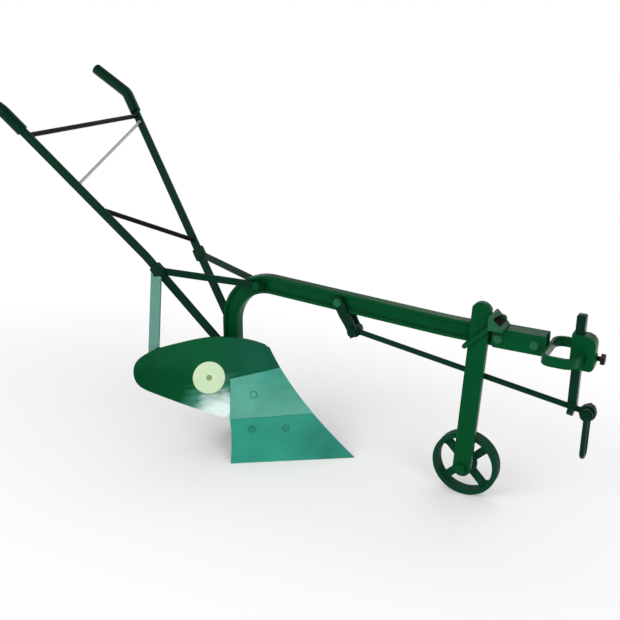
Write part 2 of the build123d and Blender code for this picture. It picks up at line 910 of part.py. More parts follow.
with BuildPart() as hake_bar:
    with BuildSketch(Plane.XY.offset(eye_z)):
        with Locations((bar_x, 0)):
            Rectangle(hake_bar_size, hake_bar_size)
    extrude(amount=hake_top_z - eye_z)
    chamfer(hake_bar.faces().sort_by(Axis.Z)[-1].edges(), 3)
    eye_plane = Plane(origin=(bar_x, 0, eye_z), z_dir=tuple(rod_way))
    with BuildSketch(eye_plane):
        Circle(hake_eye_radius)
    extrude(amount=hake_eye_thick / 2, both=True)
    with BuildSketch(eye_plane):
        Circle(eye_bore)
    extrude(amount=hake_bar_size, both=True, mode=Mode.SUBTRACT)

with BuildPart() as draft_rod:
    add(round_rod(tuple(rod_start), tuple(rod_end), rod_radius))
    for spot, radius, thick, bore in (
        (rod_start, rod_rear_eye_radius, rod_rear_eye_thick, hanger_pin_radius),
        (rod_end, rod_front_eye_radius, rod_front_eye_thick, clevis_pin_radius),
    ):
        with BuildSketch(Plane(origin=tuple(spot), z_dir=(0, 1, 0))):
            Circle(radius)
        extrude(amount=thick / 2, both=True)
        with BuildSketch(Plane(origin=tuple(spot), z_dir=(0, 1, 0))):
            Circle(bore + pivot_gap)
        extrude(amount=thick, both=True, mode=Mode.SUBTRACT)

# Hanger straps: bolted to the beam's flanks and drawn in to the rod's rear eye
strap_top = Vector(hanger_bolt_x, 0, hanger_bolt_z)
strap_fall = rod_start - strap_top
strap_way = strap_fall.normalized()
strap_flank_y = half_width + strap_thick / 2
strap_eye_y = rod_rear_eye_thick / 2 + loose_gap + strap_thick / 2
strap_clear = (half_depth + 8) / -strap_way.Z
strap_holes = [(hanger_bolt_x, hanger_bolt_z, frame_bolt_radius + seat_gap)]
strap_holes.append((hanger_pin_x, hanger_pin_z, hanger_pin_radius + loose_gap))


def make_strap(side):
    def spot(distance, y):
        point = strap_top + strap_way * distance
        return (point.X, side * y, point.Z)

    end_run = strap_width / 2
    path = bent_wire(
        [
            spot(-end_run, strap_flank_y),
            spot(strap_clear, strap_flank_y),
            spot(strap_fall.length - end_run - 8, strap_eye_y),
            spot(strap_fall.length + end_run, strap_eye_y),
        ],
        strap_bend_radius,
    )
    with BuildPart() as made:
        with BuildSketch(
            Plane(
                origin=spot(-end_run, strap_flank_y),
                x_dir=(-strap_way.Z, 0, strap_way.X),
                z_dir=tuple(strap_way),
            )
        ):
            Rectangle(strap_width, strap_thick)
        sweep(path=path)
        for x, z, radius in strap_holes:
            with BuildSketch(Plane.XZ):
                with Locations((x, z)):
                    Circle(radius)
            extrude(amount=beam_width, both=True, mode=Mode.SUBTRACT)
    return made.part


strap_pair = [make_strap(-1), make_strap(1)]
with BuildPart() as hanger_straps:
    add(strap_pair)

pin_seat = strap_eye_y + strap_thick / 2 + 0.7 * loose_gap
hanger_pin = bolt(
    (hanger_pin_x, -pin_seat, hanger_pin_z),
    (hanger_pin_x, pin_seat + frame_nut + bolt_end, hanger_pin_z),
    nut_from=2 * pin_seat,
    radius=hanger_pin_radius,
    across=frame_bolt_across + 3,
)

# Clevis: a long shackle that hangs from the rod's front eye
leg_y = clevis_gap / 2 + clevis_bar_radius
bow_bend = leg_y
clevis_foot_z = clevis_pin_z - clevis_length + clevis_bar_radius
with BuildPart() as clevis:
    with BuildLine(Plane.YZ.offset(clevis_pin_x)) as clevis_line:
        Line((-leg_y, clevis_pin_z), (-leg_y, clevis_foot_z + bow_bend))
        ThreePointArc(
            (-leg_y, clevis_foot_z + bow_bend),
            (0, clevis_foot_z),
            (leg_y, clevis_foot_z + bow_bend),
        )
        Line((leg_y, clevis_foot_z + bow_bend), (leg_y, clevis_pin_z))
    with BuildSketch(Plane(origin=(clevis_pin_x, -leg_y, clevis_pin_z), z_dir=(0, 0, -1))):
        Circle(clevis_bar_radius)
    sweep(path=clevis_line.wires()[0])
    for side in (-1, 1):
        with BuildSketch(
            Plane(origin=(clevis_pin_x, side * leg_y, clevis_pin_z), z_dir=(0, 1, 0))
        ):
            Circle(clevis_eye_radius)
        extrude(amount=clevis_eye_thick / 2, both=True)
    with BuildSketch(Plane(origin=(clevis_pin_x, 0, clevis_pin_z), z_dir=(0, 1, 0))):
        Circle(clevis_pin_radius + seat_gap)
    extrude(amount=2 * leg_y, both=True, mode=Mode.SUBTRACT)

clevis_seat = leg_y + clevis_eye_thick / 2
cotter_y = clevis_seat + seat_gap + cotter_radius
with BuildPart() as clevis_pin:
    with BuildSketch(Plane(origin=(clevis_pin_x, -clevis_seat, clevis_pin_z), z_dir=(0, 1, 0))):
        Circle(clevis_pin_radius)
    extrude(amount=2 * clevis_seat + 4 * cotter_radius)
    with BuildSketch(Plane(origin=(clevis_pin_x, -clevis_seat, clevis_pin_z), z_dir=(0, -1, 0))):
        Circle(clevis_pin_radius + 4)
    extrude(amount=5)
    add(
        round_rod(
            (clevis_pin_x, cotter_y, clevis_pin_z - 2 * clevis_pin_radius),
            (clevis_pin_x, cotter_y, clevis_pin_z + 1.5 * clevis_pin_radius),
            cotter_radius,
        )
    )

# Frame bolts
neck_bolt_set = [cross_bolt(neck_bolt_x, z, cheek_outer_y) for z in neck_bolts_z]
foot_span = cheek_outer_y + handle_thick
handle_bolt_set = [cross_bolt(x, z, foot_span) for x, z in handle_bolts]
head_bolt_set = [cross_bolt(x, beam_level_z, half_width + cheek_thick) for x in head_bolts_x]
stay_bolt = cross_bolt(stay_bolt_x, stay_bolt_z, half_width + stay_thick)
hanger_bolt = cross_bolt(hanger_bolt_x, hanger_bolt_z, half_width + strap_thick)

with BuildPart() as neck_bolts:
    add(neck_bolt_set)
with BuildPart() as handle_bolt_group:
    add(handle_bolt_set)
with BuildPart() as head_bolts:
    add(head_bolt_set)

with BuildPart() as landside_bolt_group:
    for x, z in landside_bolts:
        with BuildSketch(Plane(origin=(x, cheek_outer_y + landside_thick, z), z_dir=(0, -1, 0))):
            Circle(frame_bolt_radius)
        extrude(amount=landside_thick + frog_cheek_thick + frame_nut + 1)
        with Locations(Location((x, cheek_outer_y + landside_thick, z), (90, 0, 0))):
            Cone(
                frame_bolt_radius + 5 - seat_gap,
                frame_bolt_radius,
                5,
                align=(Align.CENTER, Align.CENTER, Align.MIN),
            )
        with BuildSketch(Plane(origin=(x, half_width, z), z_dir=(0, -1, 0))):
            RegularPolygon(frame_bolt_across / 2, 6, major_radius=False)
            Circle(frame_bolt_radius + seat_gap, mode=Mode.SUBTRACT)
        extrude(amount=frame_nut)

# Write every piece about the middle of the plough's footprint
pieces = {
    "beam": beam.part,
    "head_cheeks": head_cheeks.part,
    "head_bolts": head_bolts.part,
    "hake_bow": hake_bow.part,
    "frog": frog.part,
    "neck_bolts": neck_bolts.part,
    "share": share.part,
    "shin_plate": shin_plate.part,
    "mouldboard": mouldboard.part,
    "landside": landside.part,
    "landside_bolts": landside_bolt_group.part,
    "handle_right": handle_right,
    "handle_left": handle_left,
    "handle_bolts": handle_bolt_group.part,
    "grip_right": grip_right,
    "grip_left": grip_left,
    "knuckles": knuckles.part,
    "top_brace": top_brace,
    "mid_brace": mid_brace,
    "tie_rod": tie_rod,
    "stay_right": stay_right,
    "stay_left": stay_left,
    "stay_bolt": stay_bolt,
    "board_stay": board_stay.part,
    "clamp_hook": clamp_hook.part,
    "clamp_plate": clamp_plate.part,
    "clamp_nuts": clamp_nuts.part,
    "hanger_straps": hanger_straps.part,
    "hanger_bolt": hanger_bolt,
    "hanger_pin": hanger_pin,
    "draft_rod": draft_rod.part,
    "hake_clip": hake_clip.part,
    "set_bolt": set_bolt.part,
    "hake_bar": hake_bar.part,
    "clevis": clevis.part,
    "clevis_pin": clevis_pin.part,
    "wheel_standard": standard.part,
    "axle_bolt": axle_bolt,
    "axle_washers": axle_washers.part,
    "wheel": wheel.part,
}
boxes = [piece.bounding_box() for piece in pieces.values()]
shift = Vector(
    -(min(b.min.X for b in boxes) + max(b.max.X for b in boxes)) / 2,
    -(min(b.min.Y for b in boxes) + max(b.max.Y for b in boxes)) / 2,
    -min(b.min.Z for b in boxes),
)
for label, piece in pieces.items():
    placed = piece.moved(Location(shift))
    placed.label = label
    export_step(placed, f"parts/{label}.step")
print("moved by", round(shift.X, 3), round(shift.Y, 3), round(shift.Z, 3))
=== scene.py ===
"""Ox plough: paint, castings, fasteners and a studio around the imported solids.

Laid out as an add-on. Sizes and colours are properties, each piece or group of like
pieces has its own operator, and main() runs the operators in order.
"""

import json
from contextlib import contextmanager
from math import cos, pi, radians, sin, tan

import bmesh
import bpy
from mathutils import Matrix, Vector

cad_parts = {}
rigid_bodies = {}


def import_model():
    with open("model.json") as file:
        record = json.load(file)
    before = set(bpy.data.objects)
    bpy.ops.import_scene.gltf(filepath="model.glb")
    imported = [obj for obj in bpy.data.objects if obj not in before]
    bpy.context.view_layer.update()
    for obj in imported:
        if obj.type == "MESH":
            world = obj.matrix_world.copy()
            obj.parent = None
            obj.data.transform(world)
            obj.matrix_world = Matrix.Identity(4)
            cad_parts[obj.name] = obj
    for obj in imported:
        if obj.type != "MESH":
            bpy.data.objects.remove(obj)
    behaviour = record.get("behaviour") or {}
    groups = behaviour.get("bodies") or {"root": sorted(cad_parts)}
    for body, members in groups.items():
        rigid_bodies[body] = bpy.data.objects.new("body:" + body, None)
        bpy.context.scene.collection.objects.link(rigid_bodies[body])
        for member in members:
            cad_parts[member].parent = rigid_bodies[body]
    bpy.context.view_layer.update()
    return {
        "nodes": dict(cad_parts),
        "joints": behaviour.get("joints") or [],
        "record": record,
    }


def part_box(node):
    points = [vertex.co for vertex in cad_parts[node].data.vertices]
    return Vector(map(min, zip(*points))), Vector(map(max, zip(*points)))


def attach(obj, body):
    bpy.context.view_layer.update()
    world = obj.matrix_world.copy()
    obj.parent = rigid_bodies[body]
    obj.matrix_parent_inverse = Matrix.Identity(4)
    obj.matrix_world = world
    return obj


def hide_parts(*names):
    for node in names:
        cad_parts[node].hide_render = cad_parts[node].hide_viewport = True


bl_info = {
    "name": "Ox plough",
    "version": (1, 0, 0),
    "blender": (4, 5, 0),
    "location": "View3D > Sidebar > Plough",
    "description": "Dresses the packed ox plough with paint, castings and fasteners",
    "category": "Object",
}

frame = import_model()
joints = {joint["name"]: joint for joint in frame["joints"]}
MM = 0.001
X, Y, Z = Vector((1, 0, 0)), Vector((0, 1, 0)), Vector((0, 0, 1))

# The drawing's zero is on the ground, in the beam's middle plane, 3 mm ahead of the axle.
# The solids' measures are in millimetres from there
AXLE_X, AXLE_Z = -3, 83
zero = Vector(joints["wheel_spin"]["pos_m"]) - Vector((AXLE_X, 0, AXLE_Z)) * MM

# Heights of the beam's head, of the stays' bolt, and of the set bolt in the hake clip
HEAD_Z, STAY_Z, CLIP_Z = 432.227, 453.49, 420

# The handles, measured along their slope from the foot. They lean back as they rise, spread
# from the flare on, and the right one spreads more from a second flare on
SIDES = {"right": -1, "left": 1}
FOOT_X, FOOT_Y, FOOT_Z = -631, 27, 200
LEAN, RISE = 0.61907, 0.78531
FLARE, SPREAD = 52, 0.22678
RIGHT_FLARE, RIGHT_SPREAD = 400, 0.11
KNUCKLE, HANDLE_TOP = 350, 844.05
HANDLE_BROAD = Vector((RISE, 0, LEAN))

# The working sheet. Its shin runs back from the point and curls forward as it rises, and its
# face turns further from the line of travel between two heights
POINT_X, SHIN_Y, SHIN_SLOPE, SHIN_CURL = -315, 27, 1.431, 0.001657
LOW_TURN, HIGH_TURN, TURN_START_Z, TURN_END_Z = 34.5, 47, 60, 280

# Patterns of the finishes: how fine each is, and how much detail it has
POOLS, STREAKS, CHIPS, DUST, SHEEN = (9, 4), (75, 5), (70, 5), (24, 3), (40, 3)
PEEL, SAGS, RUNS, SCRATCHES, RUST = (330, 2), (55, 2), (75, 3), (160, 4), (26, 5)
PRIMER_TONE, DUST_TONE, RUST_TONE = (0.16, 0.15, 0.14), (0.30, 0.36, 0.28), (0.16, 0.07, 0.03)


def spot(x, y, z):
    """A point of the drawing, in millimetres from its zero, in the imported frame."""
    return zero + Vector((x, y, z)) * MM


def linear(part):
    """A part of a screen colour, from 0 to 255, as the linear part that shaders take."""
    part = part / 255
    return part / 12.92 if part <= 0.04045 else ((part + 0.055) / 1.055) ** 2.4


def colour(title, what, *parts):
    shade = tuple(linear(part) for part in parts)
    return bpy.props.FloatVectorProperty(
        name=title, description=what, subtype="COLOR", size=3, min=0, max=1, default=shade
    )


def amount(title, what, size, unit="NONE"):
    return bpy.props.FloatProperty(name=title, description=what, unit=unit, min=0, default=size)


def length(title, what, size):
    return amount(title, what, size * MM, "LENGTH")


class PloughColours(bpy.types.PropertyGroup):
    """Paint and metal colours."""

    green: colour("Green", "Gloss enamel on the frame", 2, 66, 33)
    wheel: colour("Wheel", "Dull paint on the cast wheel", 16, 61, 41)
    board: colour("Mouldboard", "Gloss enamel on the mouldboard", 2, 72, 38)
    share: colour("Share", "Paint on the share", 43, 145, 123)
    plate: colour("Shin plate", "Paler paint on the shin plate", 87, 160, 141)
    stay: colour("Board stay", "Pale paint on the mouldboard's stay", 93, 140, 128)
    # Partly painted highlight: the bolts' green paint, made lighter than the frame's to paint in the
    # highlights on their heads
    bolt: colour("Bolts", "Paint on the bolt heads and nuts", 29, 85, 58)
    dark: colour("Dark green", "Thick dark paint on the handles, the rod and the clevis", 4, 36, 23)
    black: colour("Black", "Black paint on braces and nuts", 5, 6, 6)
    steel: colour("Steel", "Bare steel of the tie rod", 88, 90, 90)
    badge: colour("Badge", "Plain round plate on the mouldboard", 198, 222, 184)
    rivet: colour("Rivet", "Plain rivet in the middle of the disc", 132, 154, 98)
    # A painted highlight: the white glare at the foot of the mouldboard, painted into its colour
    scoured: colour("Scoured", "Paint scoured pale at the foot of the mouldboard", 226, 240, 236)


class PloughSizes(bpy.types.PropertyGroup):
    """Sizes of what the scene adds to the solids."""

    edge: length("Edge", "Rounding of rolled and forged edges", 1.2)
    cast_edge: length("Cast edge", "Rounding of cast edges", 2.4)
    washer: length("Washer", "Thickness of a washer under a head or nut", 1.6)
    pitch: length("Thread pitch", "Pitch of the bolts' threads", 1.75)
    weld: length("Weld", "Half the breadth of a weld bead", 2.2)
    grain: length("Casting grain", "Size of the grid that runs a casting together", 1.3)
    disc: length("Disc", "Radius of the plain disc on the mouldboard", 43)


class PloughStudio(bpy.types.PropertyGroup):
    """Camera and light."""

    lens: amount("Lens", "Focal length of the camera", 52.26, "CAMERA")
    key: amount("Key light", "Power of the large front light", 60, "POWER")
    sky: amount("Sky", "Strength of the even light all round", 0.5)


def fed(tree, node, values):
    """Gives a shader node's inputs their values or links."""
    for key, value in values.items():
        socket = node.inputs[key]
        if isinstance(value, bpy.types.NodeSocket):
            tree.links.new(value, socket)
        else:
            socket.default_value = (*value, 1) if socket.type == "RGBA" else value
    return node


def wired(tree, kind, values=None, **settings):
    """Adds a shader node, with its settings and its inputs' values or links."""
    node = tree.nodes.new(kind)
    for key, value in settings.items():
        setattr(node, key, value)
    return fed(tree, node, values or {})


def ranged(tree, value, low, high, bottom=0.0, top=1.0):
    """A value's span from low to high, stretched to the span from bottom to top."""
    values = {"Value": value, "From Min": low, "From Max": high, "To Min": bottom, "To Max": top}
    return wired(tree, "ShaderNodeMapRange", values).outputs[0]


def varied(tree, pattern, bottom=0.0, top=1.0):
    """The span that most of a pattern lies in, stretched to the span from bottom to top."""
    return ranged(tree, pattern, 0.3, 0.7, bottom, top)


def blended(tree, share, first, second, how="MIX"):
    """Two colours, put together by a share from 0 to 1."""
    values = {0: share, 6: first, 7: second}
    return wired(tree, "ShaderNodeMix", values, data_type="RGBA", blend_type=how).outputs[2]


def reckoned(tree, operation, first, second):
    return wired(tree, "ShaderNodeMath", {0: first, 1: second}, operation=operation).outputs[0]


def vectored(tree, operation, *values):
    """What a vector node works out: a vector from MULTIPLY, and a number from the others."""
    node = wired(tree, "ShaderNodeVectorMath", dict(enumerate(values)), operation=operation)
    return node.outputs["Vector" if operation == "MULTIPLY" else "Value"]


def noise(tree, place, pattern, roughness=0.55):
    scale, detail = pattern
    values = {"Vector": place, "Scale": scale, "Detail": detail, "Roughness": roughness}
    return wired(tree, "ShaderNodeTexNoise", values).outputs[0]


def bumped(tree, height, strength, deep, **more):
    """A bumpy normal; deep is in millimetres."""
    values = {"Strength": strength, "Distance": deep * MM, "Height": height, **more}
    return wired(tree, "ShaderNodeBump", values).outputs[0]


def tinted(shade, factor):
    return tuple(min(part * factor, 1) for part in shade)


def new_finish(name):
    """A new material, its nodes, its shader and the coordinates that its patterns lie in."""
    material = bpy.data.materials.new(name)
    material.use_nodes = True
    tree = material.node_tree
    place = wired(tree, "ShaderNodeTexCoord").outputs["Object"]
    return material, tree, tree.nodes["Principled BSDF"], place


def enamel(name, shade, tint, gloss=0.3, level=0.22, depth=0.14, chips=0.4, fades=()):
    """Gloss paint put on by brush: pooled tone, sags, orange peel, worn edges, a little dust.

    A fade is a place, its reach, the colour there and its strength. On the mouldboard the fades are
    painted highlights and painted shade.
    """
    material, tree, shader, place = new_finish(name)
    normal = wired(tree, "ShaderNodeNewGeometry").outputs["Normal"]
    looks = wired(tree, "ShaderNodeSeparateXYZ", {0: normal}).outputs

    def grained(pattern, where=place):
        return noise(tree, where, pattern)

    tone = shade
    if fades:
        face_side = ranged(tree, looks[1], 0.05, -0.1)
        streaks = grained(STREAKS, vectored(tree, "MULTIPLY", place, (0.3, 0.3, 1)))
    # Each fade paints its colour in round its place, on faces towards the soil side only: on the
    # mouldboard, painted highlights and shade
    for at, reach, there, strength in fades:
        ragged = varied(tree, streaks, -0.15 * reach, 0.15 * reach)
        away = reckoned(tree, "ADD", vectored(tree, "DISTANCE", place, at), ragged)
        near = reckoned(tree, "MINIMUM", ranged(tree, away, reach, 0, 0, strength), 1.0)
        near = reckoned(tree, "MULTIPLY", near, face_side)
        tone = blended(tree, near, tone, there)
    pooled = varied(tree, grained(POOLS), 1 - depth, 1 + depth)
    tone = blended(tree, 1, tone, pooled, "MULTIPLY")
    round_edge = wired(tree, "ShaderNodeBevel", {"Radius": 2.2 * MM}, samples=4).outputs[0]
    edge = ranged(tree, vectored(tree, "DOT_PRODUCT", round_edge, normal), 0.995, 0.85)
    patchy = ranged(tree, grained(CHIPS), 0.52, 0.62)
    worn = reckoned(tree, "MULTIPLY", reckoned(tree, "MULTIPLY", edge, patchy), chips)
    tone = blended(tree, worn, tone, PRIMER_TONE)
    dusty = ranged(tree, looks[2], 0.5, 1.0, 0, 0.03)
    dusty = reckoned(tree, "MULTIPLY", dusty, grained(DUST))
    tone = blended(tree, dusty, tone, DUST_TONE)
    rough = varied(tree, grained(SHEEN), gloss - 0.05, gloss + 0.07)
    rough = reckoned(tree, "ADD", rough, reckoned(tree, "MULTIPLY", worn, 0.3))
    peel = bumped(tree, grained(PEEL), 0.06, 0.5)
    runs = grained(RUNS, vectored(tree, "MULTIPLY", place, (1, 1, 0.14)))
    sags = reckoned(tree, "ADD", grained(SAGS), runs)
    bumps = bumped(tree, sags, 0.13, 1.2, Normal=peel)
    fed(tree, shader, {"Base Color": tone, "Roughness": rough, "Normal": bumps})
    fed(tree, shader, {"Specular IOR Level": level, "Specular Tint": tint})
    return material


def bare_steel(name, shade):
    """Drawn steel, left bare: a grey metal with fine scratches and a little rust."""
    material, tree, shader, place = new_finish(name)
    fine, broad = (noise(tree, place, pattern, 0.5) for pattern in (SCRATCHES, RUST))
    tone = blended(tree, varied(tree, fine), tinted(shade, 0.85), tinted(shade, 1.15))
    tone = blended(tree, ranged(tree, broad, 0.56, 0.72, 0, 0.6), tone, RUST_TONE)
    rough, bumps = varied(tree, broad, 0.32, 0.55), bumped(tree, fine, 0.15, 0.4)
    fed(tree, shader, {"Base Color": tone, "Roughness": rough, "Normal": bumps})
    fed(tree, shader, {"Specular IOR Level": 0.2})
    return material


def finish_of(name):
    """The named finish, made when it is first asked for."""
    made = bpy.data.materials.get(name)
    if made:
        return made
    colours = bpy.context.scene.plough_colours
    if name == "bare_steel":
        return bare_steel(name, tuple(colours.steel))
    green_gleam, teal_gleam, plain_gleam = (0.2, 0.85, 0.5), (0.6, 0.97, 0.9), (1, 1, 1)
    board_look = {"gloss": 0.24, "level": 0.16, "chips": 0.15}
    fades = sheet_fades(colours)
    paints = {
        "green_enamel": (colours.green, green_gleam, {"level": 0.12, "chips": 0.3}),
        "wheel_enamel": (colours.wheel, green_gleam, {"gloss": 0.5, "level": 0.03, "chips": 0.2}),
        # Partly painted highlight: lighter green on the bolts and the clamp plate, for the highlights
        # on them
        "bolt_enamel": (colours.bolt, green_gleam, {"gloss": 0.26}),
        "dark_enamel": (colours.dark, green_gleam, {"gloss": 0.34, "level": 0.16}),
        "board_enamel": (colours.board, green_gleam, {**board_look, "fades": fades["board"]}),
        "share_enamel": (colours.share, teal_gleam, {"gloss": 0.34, "fades": fades["share"]}),
        "plate_enamel": (colours.plate, teal_gleam, {"gloss": 0.34, "fades": fades["plate"]}),
        "stay_enamel": (colours.stay, teal_gleam, {"gloss": 0.36}),
        "head_enamel": (tinted(colours.share, 0.78), teal_gleam, {}),
        # Painted shade: dark paint for the ring round each flush bolt, standing in for the shade of
        # its recess
        "recess_enamel": (tinted(colours.share, 0.45), teal_gleam, {"gloss": 0.4}),
        "black_enamel": (colours.black, (0.7, 0.9, 0.8), {"gloss": 0.34, "level": 0.15}),
        "badge_enamel": (colours.badge, plain_gleam, {"depth": 0.05, "chips": 0.1}),
        "rivet_enamel": (colours.rivet, plain_gleam, {"gloss": 0.34, "chips": 0.2}),
    }
    shade, tint, settings = paints[name]
    return enamel(name, tuple(shade), tint, **settings)


def sheet_fades(colours):
    """Where the working sheet's colour changes. On the mouldboard these are painted light: painted
    shade towards the tail, and painted highlights, lighter and bluer at the front and white inside
    pale teal at the foot. The share goes darker towards its point, the shin plate towards its top.
    """
    board, share, plate = tuple(colours.board), tuple(colours.share), tuple(colours.plate)
    return {
        "board": (
            # Painted shade: darker towards the tail, where the face turns away
            (face_spot(-815, 235), 0.15, tinted(board, 0.75), 0.7),
            # Painted highlight: lighter and bluer at the front, above the shin plate
            (face_spot(-600, 255), 0.12, tinted(share, 0.32), 0.6),
            # Painted highlight: pale teal round the foot of the mouldboard, by the shin plate
            (face_spot(-656, 116), 0.110, plate, 1.1),
            # Painted highlight: white inside the pale teal, at the foot of the mouldboard
            (face_spot(-652, 120), 0.064, tuple(colours.scoured), 1.4),
        ),
        # Darker towards the share's point
        "share": ((face_spot(-380, 20), 0.14, tinted(share, 0.62), 0.8),),
        # Darker towards the top of the shin plate
        "plate": ((face_spot(-560, 205), 0.12, tinted(share, 0.95), 0.8),),
    }


def face_spot(x, z):
    """A point of the working sheet's face, from how far forward and how high it is."""
    share = min(max((z - TURN_START_Z) / (TURN_END_Z - TURN_START_Z), 0), 1)
    eased = share * share * (3 - 2 * share)
    turn = radians(LOW_TURN + (HIGH_TURN - LOW_TURN) * eased)
    shin_x = POINT_X - SHIN_SLOPE * z + SHIN_CURL * z * z
    return spot(x, SHIN_Y - (shin_x - x) * tan(turn), z)


def face_normal(x, z):
    """The way the working sheet's face looks, out of the soil side."""
    up = face_spot(x, z + 1) - face_spot(x, z - 1)
    on = face_spot(x + 1, z) - face_spot(x - 1, z)
    return on.cross(up).normalized()


def handle_spot(along, side):
    """A point of a handle's middle line, up from its foot."""
    spread = FOOT_Y + max(along - FLARE, 0) * SPREAD
    if side == SIDES["right"]:
        spread += max(along - RIGHT_FLARE, 0) * RIGHT_SPREAD
    return spot(FOOT_X - LEAN * along, side * spread, FOOT_Z + RISE * along)


def select_only(*pieces):
    bpy.ops.object.select_all(action="DESELECT")
    for piece in pieces:
        piece.select_set(True)
    bpy.context.view_layer.objects.active = pieces[0]


@contextmanager
def editing(piece):
    """Edit mode on one piece and on nothing else, with all of it selected."""
    select_only(piece)
    bpy.ops.object.mode_set(mode="EDIT")
    bpy.ops.mesh.select_all(action="SELECT")
    yield
    bpy.ops.object.mode_set(mode="OBJECT")


def pick(piece, test, kind="faces"):
    """In edit mode, selects the faces or vertices that pass a test, and no others."""
    bpy.ops.mesh.select_mode(type={"faces": "FACE", "verts": "VERT"}[kind])
    bpy.ops.mesh.select_all(action="DESELECT")
    mesh = bmesh.from_edit_mesh(piece.data)
    for part in getattr(mesh, kind):
        part.select_set(bool(test(part)))
    mesh.select_flush_mode()
    bmesh.update_edit_mesh(piece.data)


def aimed(at, ahead, across, sizes=(1, 1, 1)):
    """A place whose Z runs ahead and whose X runs across, with a size along each of its axes."""
    ahead = Vector(ahead).normalized()
    across = Vector(across)
    across = (across - ahead * across.dot(ahead)).normalized()
    turn = Matrix((across, ahead.cross(across), ahead)).transposed().to_4x4()
    return Matrix.Translation(at) @ turn @ Matrix.Diagonal((*sizes, 1))


def lifted(height):
    """A place at a height in millimetres, for a pattern that is modelled along Z."""
    return Matrix.Translation(Z * height * MM)


def placed(name, place):
    """Names the active piece and puts its place into its mesh."""
    piece = bpy.context.object
    piece.name = piece.data.name = name
    piece.matrix_world = place
    bpy.ops.object.transform_apply()
    return piece


def added(primitive, name, place, **settings):
    """Adds a primitive, with nothing else selected, and puts its place into its mesh."""
    bpy.ops.object.select_all(action="DESELECT")
    primitive(**settings)
    return placed(name, place)


def round_face(name, place, radius, sides=24):
    """A flat round face in its place, to be drawn out."""
    circle = bpy.ops.mesh.primitive_circle_add
    return added(circle, name, place, vertices=sides, radius=radius * MM, fill_type="NGON")


def drum(name, place, radius, deep, sides=40):
    """A short round or many-sided block in its place, to be shaped."""
    cylinder = bpy.ops.mesh.primitive_cylinder_add
    return added(cylinder, name, place, vertices=sides, radius=radius * MM, depth=deep * MM)


def pull(by):
    bpy.ops.mesh.extrude_region_move(TRANSFORM_OT_translate={"value": by})


def draw_out(path, bends=(), steps=8):
    """Draws the selected end along straight runs, and round a bend at each corner between."""
    here = path[0]
    for index, corner in enumerate(path[1:], 1):
        ahead = (corner - here).normalized()
        if index == len(path) - 1:
            pull(corner - here)
            return
        on = (path[index + 1] - corner).normalized()
        turn = ahead.angle(on)
        radius = bends[index - 1] * MM
        reach = radius * tan(turn / 2)
        start = corner - ahead * reach
        pull(start - here)
        axis = ahead.cross(on).normalized()
        centre = start + axis.cross(ahead) * radius
        bpy.ops.mesh.spin(steps=steps, angle=-turn, center=centre, axis=axis)
        here = corner + on * reach


def threaded(way, turns, pitch):
    """Draws the selected end on as a thread: a ring cut in at each turn, and a narrow tip."""
    root, tip = 0.9, 0.8
    for size in (root, 1 / root) * turns + (tip,):
        pull(way * pitch / 2)
        bpy.ops.transform.resize(value=(size, size, size))


def closed(piece):
    """Merges what meets, and turns the faces outwards."""
    with editing(piece):
        bpy.ops.mesh.remove_doubles(threshold=1e-6)
        bpy.ops.mesh.normals_make_consistent(inside=False)
    return piece


def applied(piece, kind, **settings):
    """Puts a modifier on a piece and applies it."""
    select_only(piece)
    bpy.ops.object.modifier_add(type=kind)
    modifier = piece.modifiers[-1]
    for key, value in settings.items():
        setattr(modifier, key, value)
    bpy.ops.object.modifier_apply(modifier=modifier.name)
    return piece


def smoothed(piece, sharp):
    """Shades a piece smooth, but for edges sharper than an angle in degrees."""
    select_only(piece)
    bpy.ops.object.shade_smooth_by_angle(angle=radians(sharp))
    return piece


def rounded(piece, width, segments=2):
    """Rounds a piece's edges, with its flats still flat."""
    sharp = 38
    limit = {"limit_method": "ANGLE", "angle_limit": radians(sharp)}
    applied(piece, "BEVEL", width=width, segments=segments, **limit)
    return applied(smoothed(piece, sharp), "WEIGHTED_NORMAL", weight=50, keep_sharp=True)


def bar(name, path, across, wide, thick, bends):
    """A flat bar drawn along a path, with a radius for each bend."""
    place = aimed(path[0], path[1] - path[0], across, (wide * MM, thick * MM, 1))
    piece = added(bpy.ops.mesh.primitive_plane_add, name, place, size=1)
    with editing(piece):
        draw_out(path, bends)
    return closed(piece)


def rod(name, path, radius, bends=(), steps=8, sides=24):
    """A round rod drawn along a path, with a radius for each bend."""
    ahead = path[1] - path[0]
    piece = round_face(name, aimed(path[0], ahead, ahead.orthogonal()), radius, sides)
    with editing(piece):
        draw_out(path, bends, steps)
    return closed(piece)


def copied(node, name):
    """A copy of a solid as a piece of its own, with its doubles merged."""
    select_only(frame["nodes"][node])
    bpy.ops.object.duplicate()
    copy = bpy.context.object
    copy.name = copy.data.name = name
    bpy.ops.object.parent_clear(type="CLEAR_KEEP_TRANSFORM")
    for key in list(copy.keys()):
        del copy[key]
    bpy.ops.mesh.customdata_custom_splitnormals_clear()
    with editing(copy):
        bpy.ops.mesh.remove_doubles(threshold=1e-6)
    return copy


def flattened(piece):
    """Makes one face of the triangles of each flat."""
    with editing(piece):
        bpy.ops.mesh.dissolve_limited(angle_limit=radians(0.5))
    return piece


def softened(node, name, width):
    """A copy of a solid with whole flats and rounded edges, as rolled or forged steel has."""
    return rounded(flattened(copied(node, name)), width)


def run_together(piece, grain):
    """Rebuilds a piece on a fine grid, with all that overlaps made one."""
    return applied(piece, "REMESH", mode="VOXEL", voxel_size=grain, adaptivity=0)


def cast(node, name, grain, rounds):
    """A copy of a solid with every edge and inner corner run together, as a casting has."""
    copy = run_together(copied(node, name), grain)
    applied(copy, "SMOOTH", factor=0.5, iterations=rounds)
    bpy.ops.object.shade_smooth()
    return copy


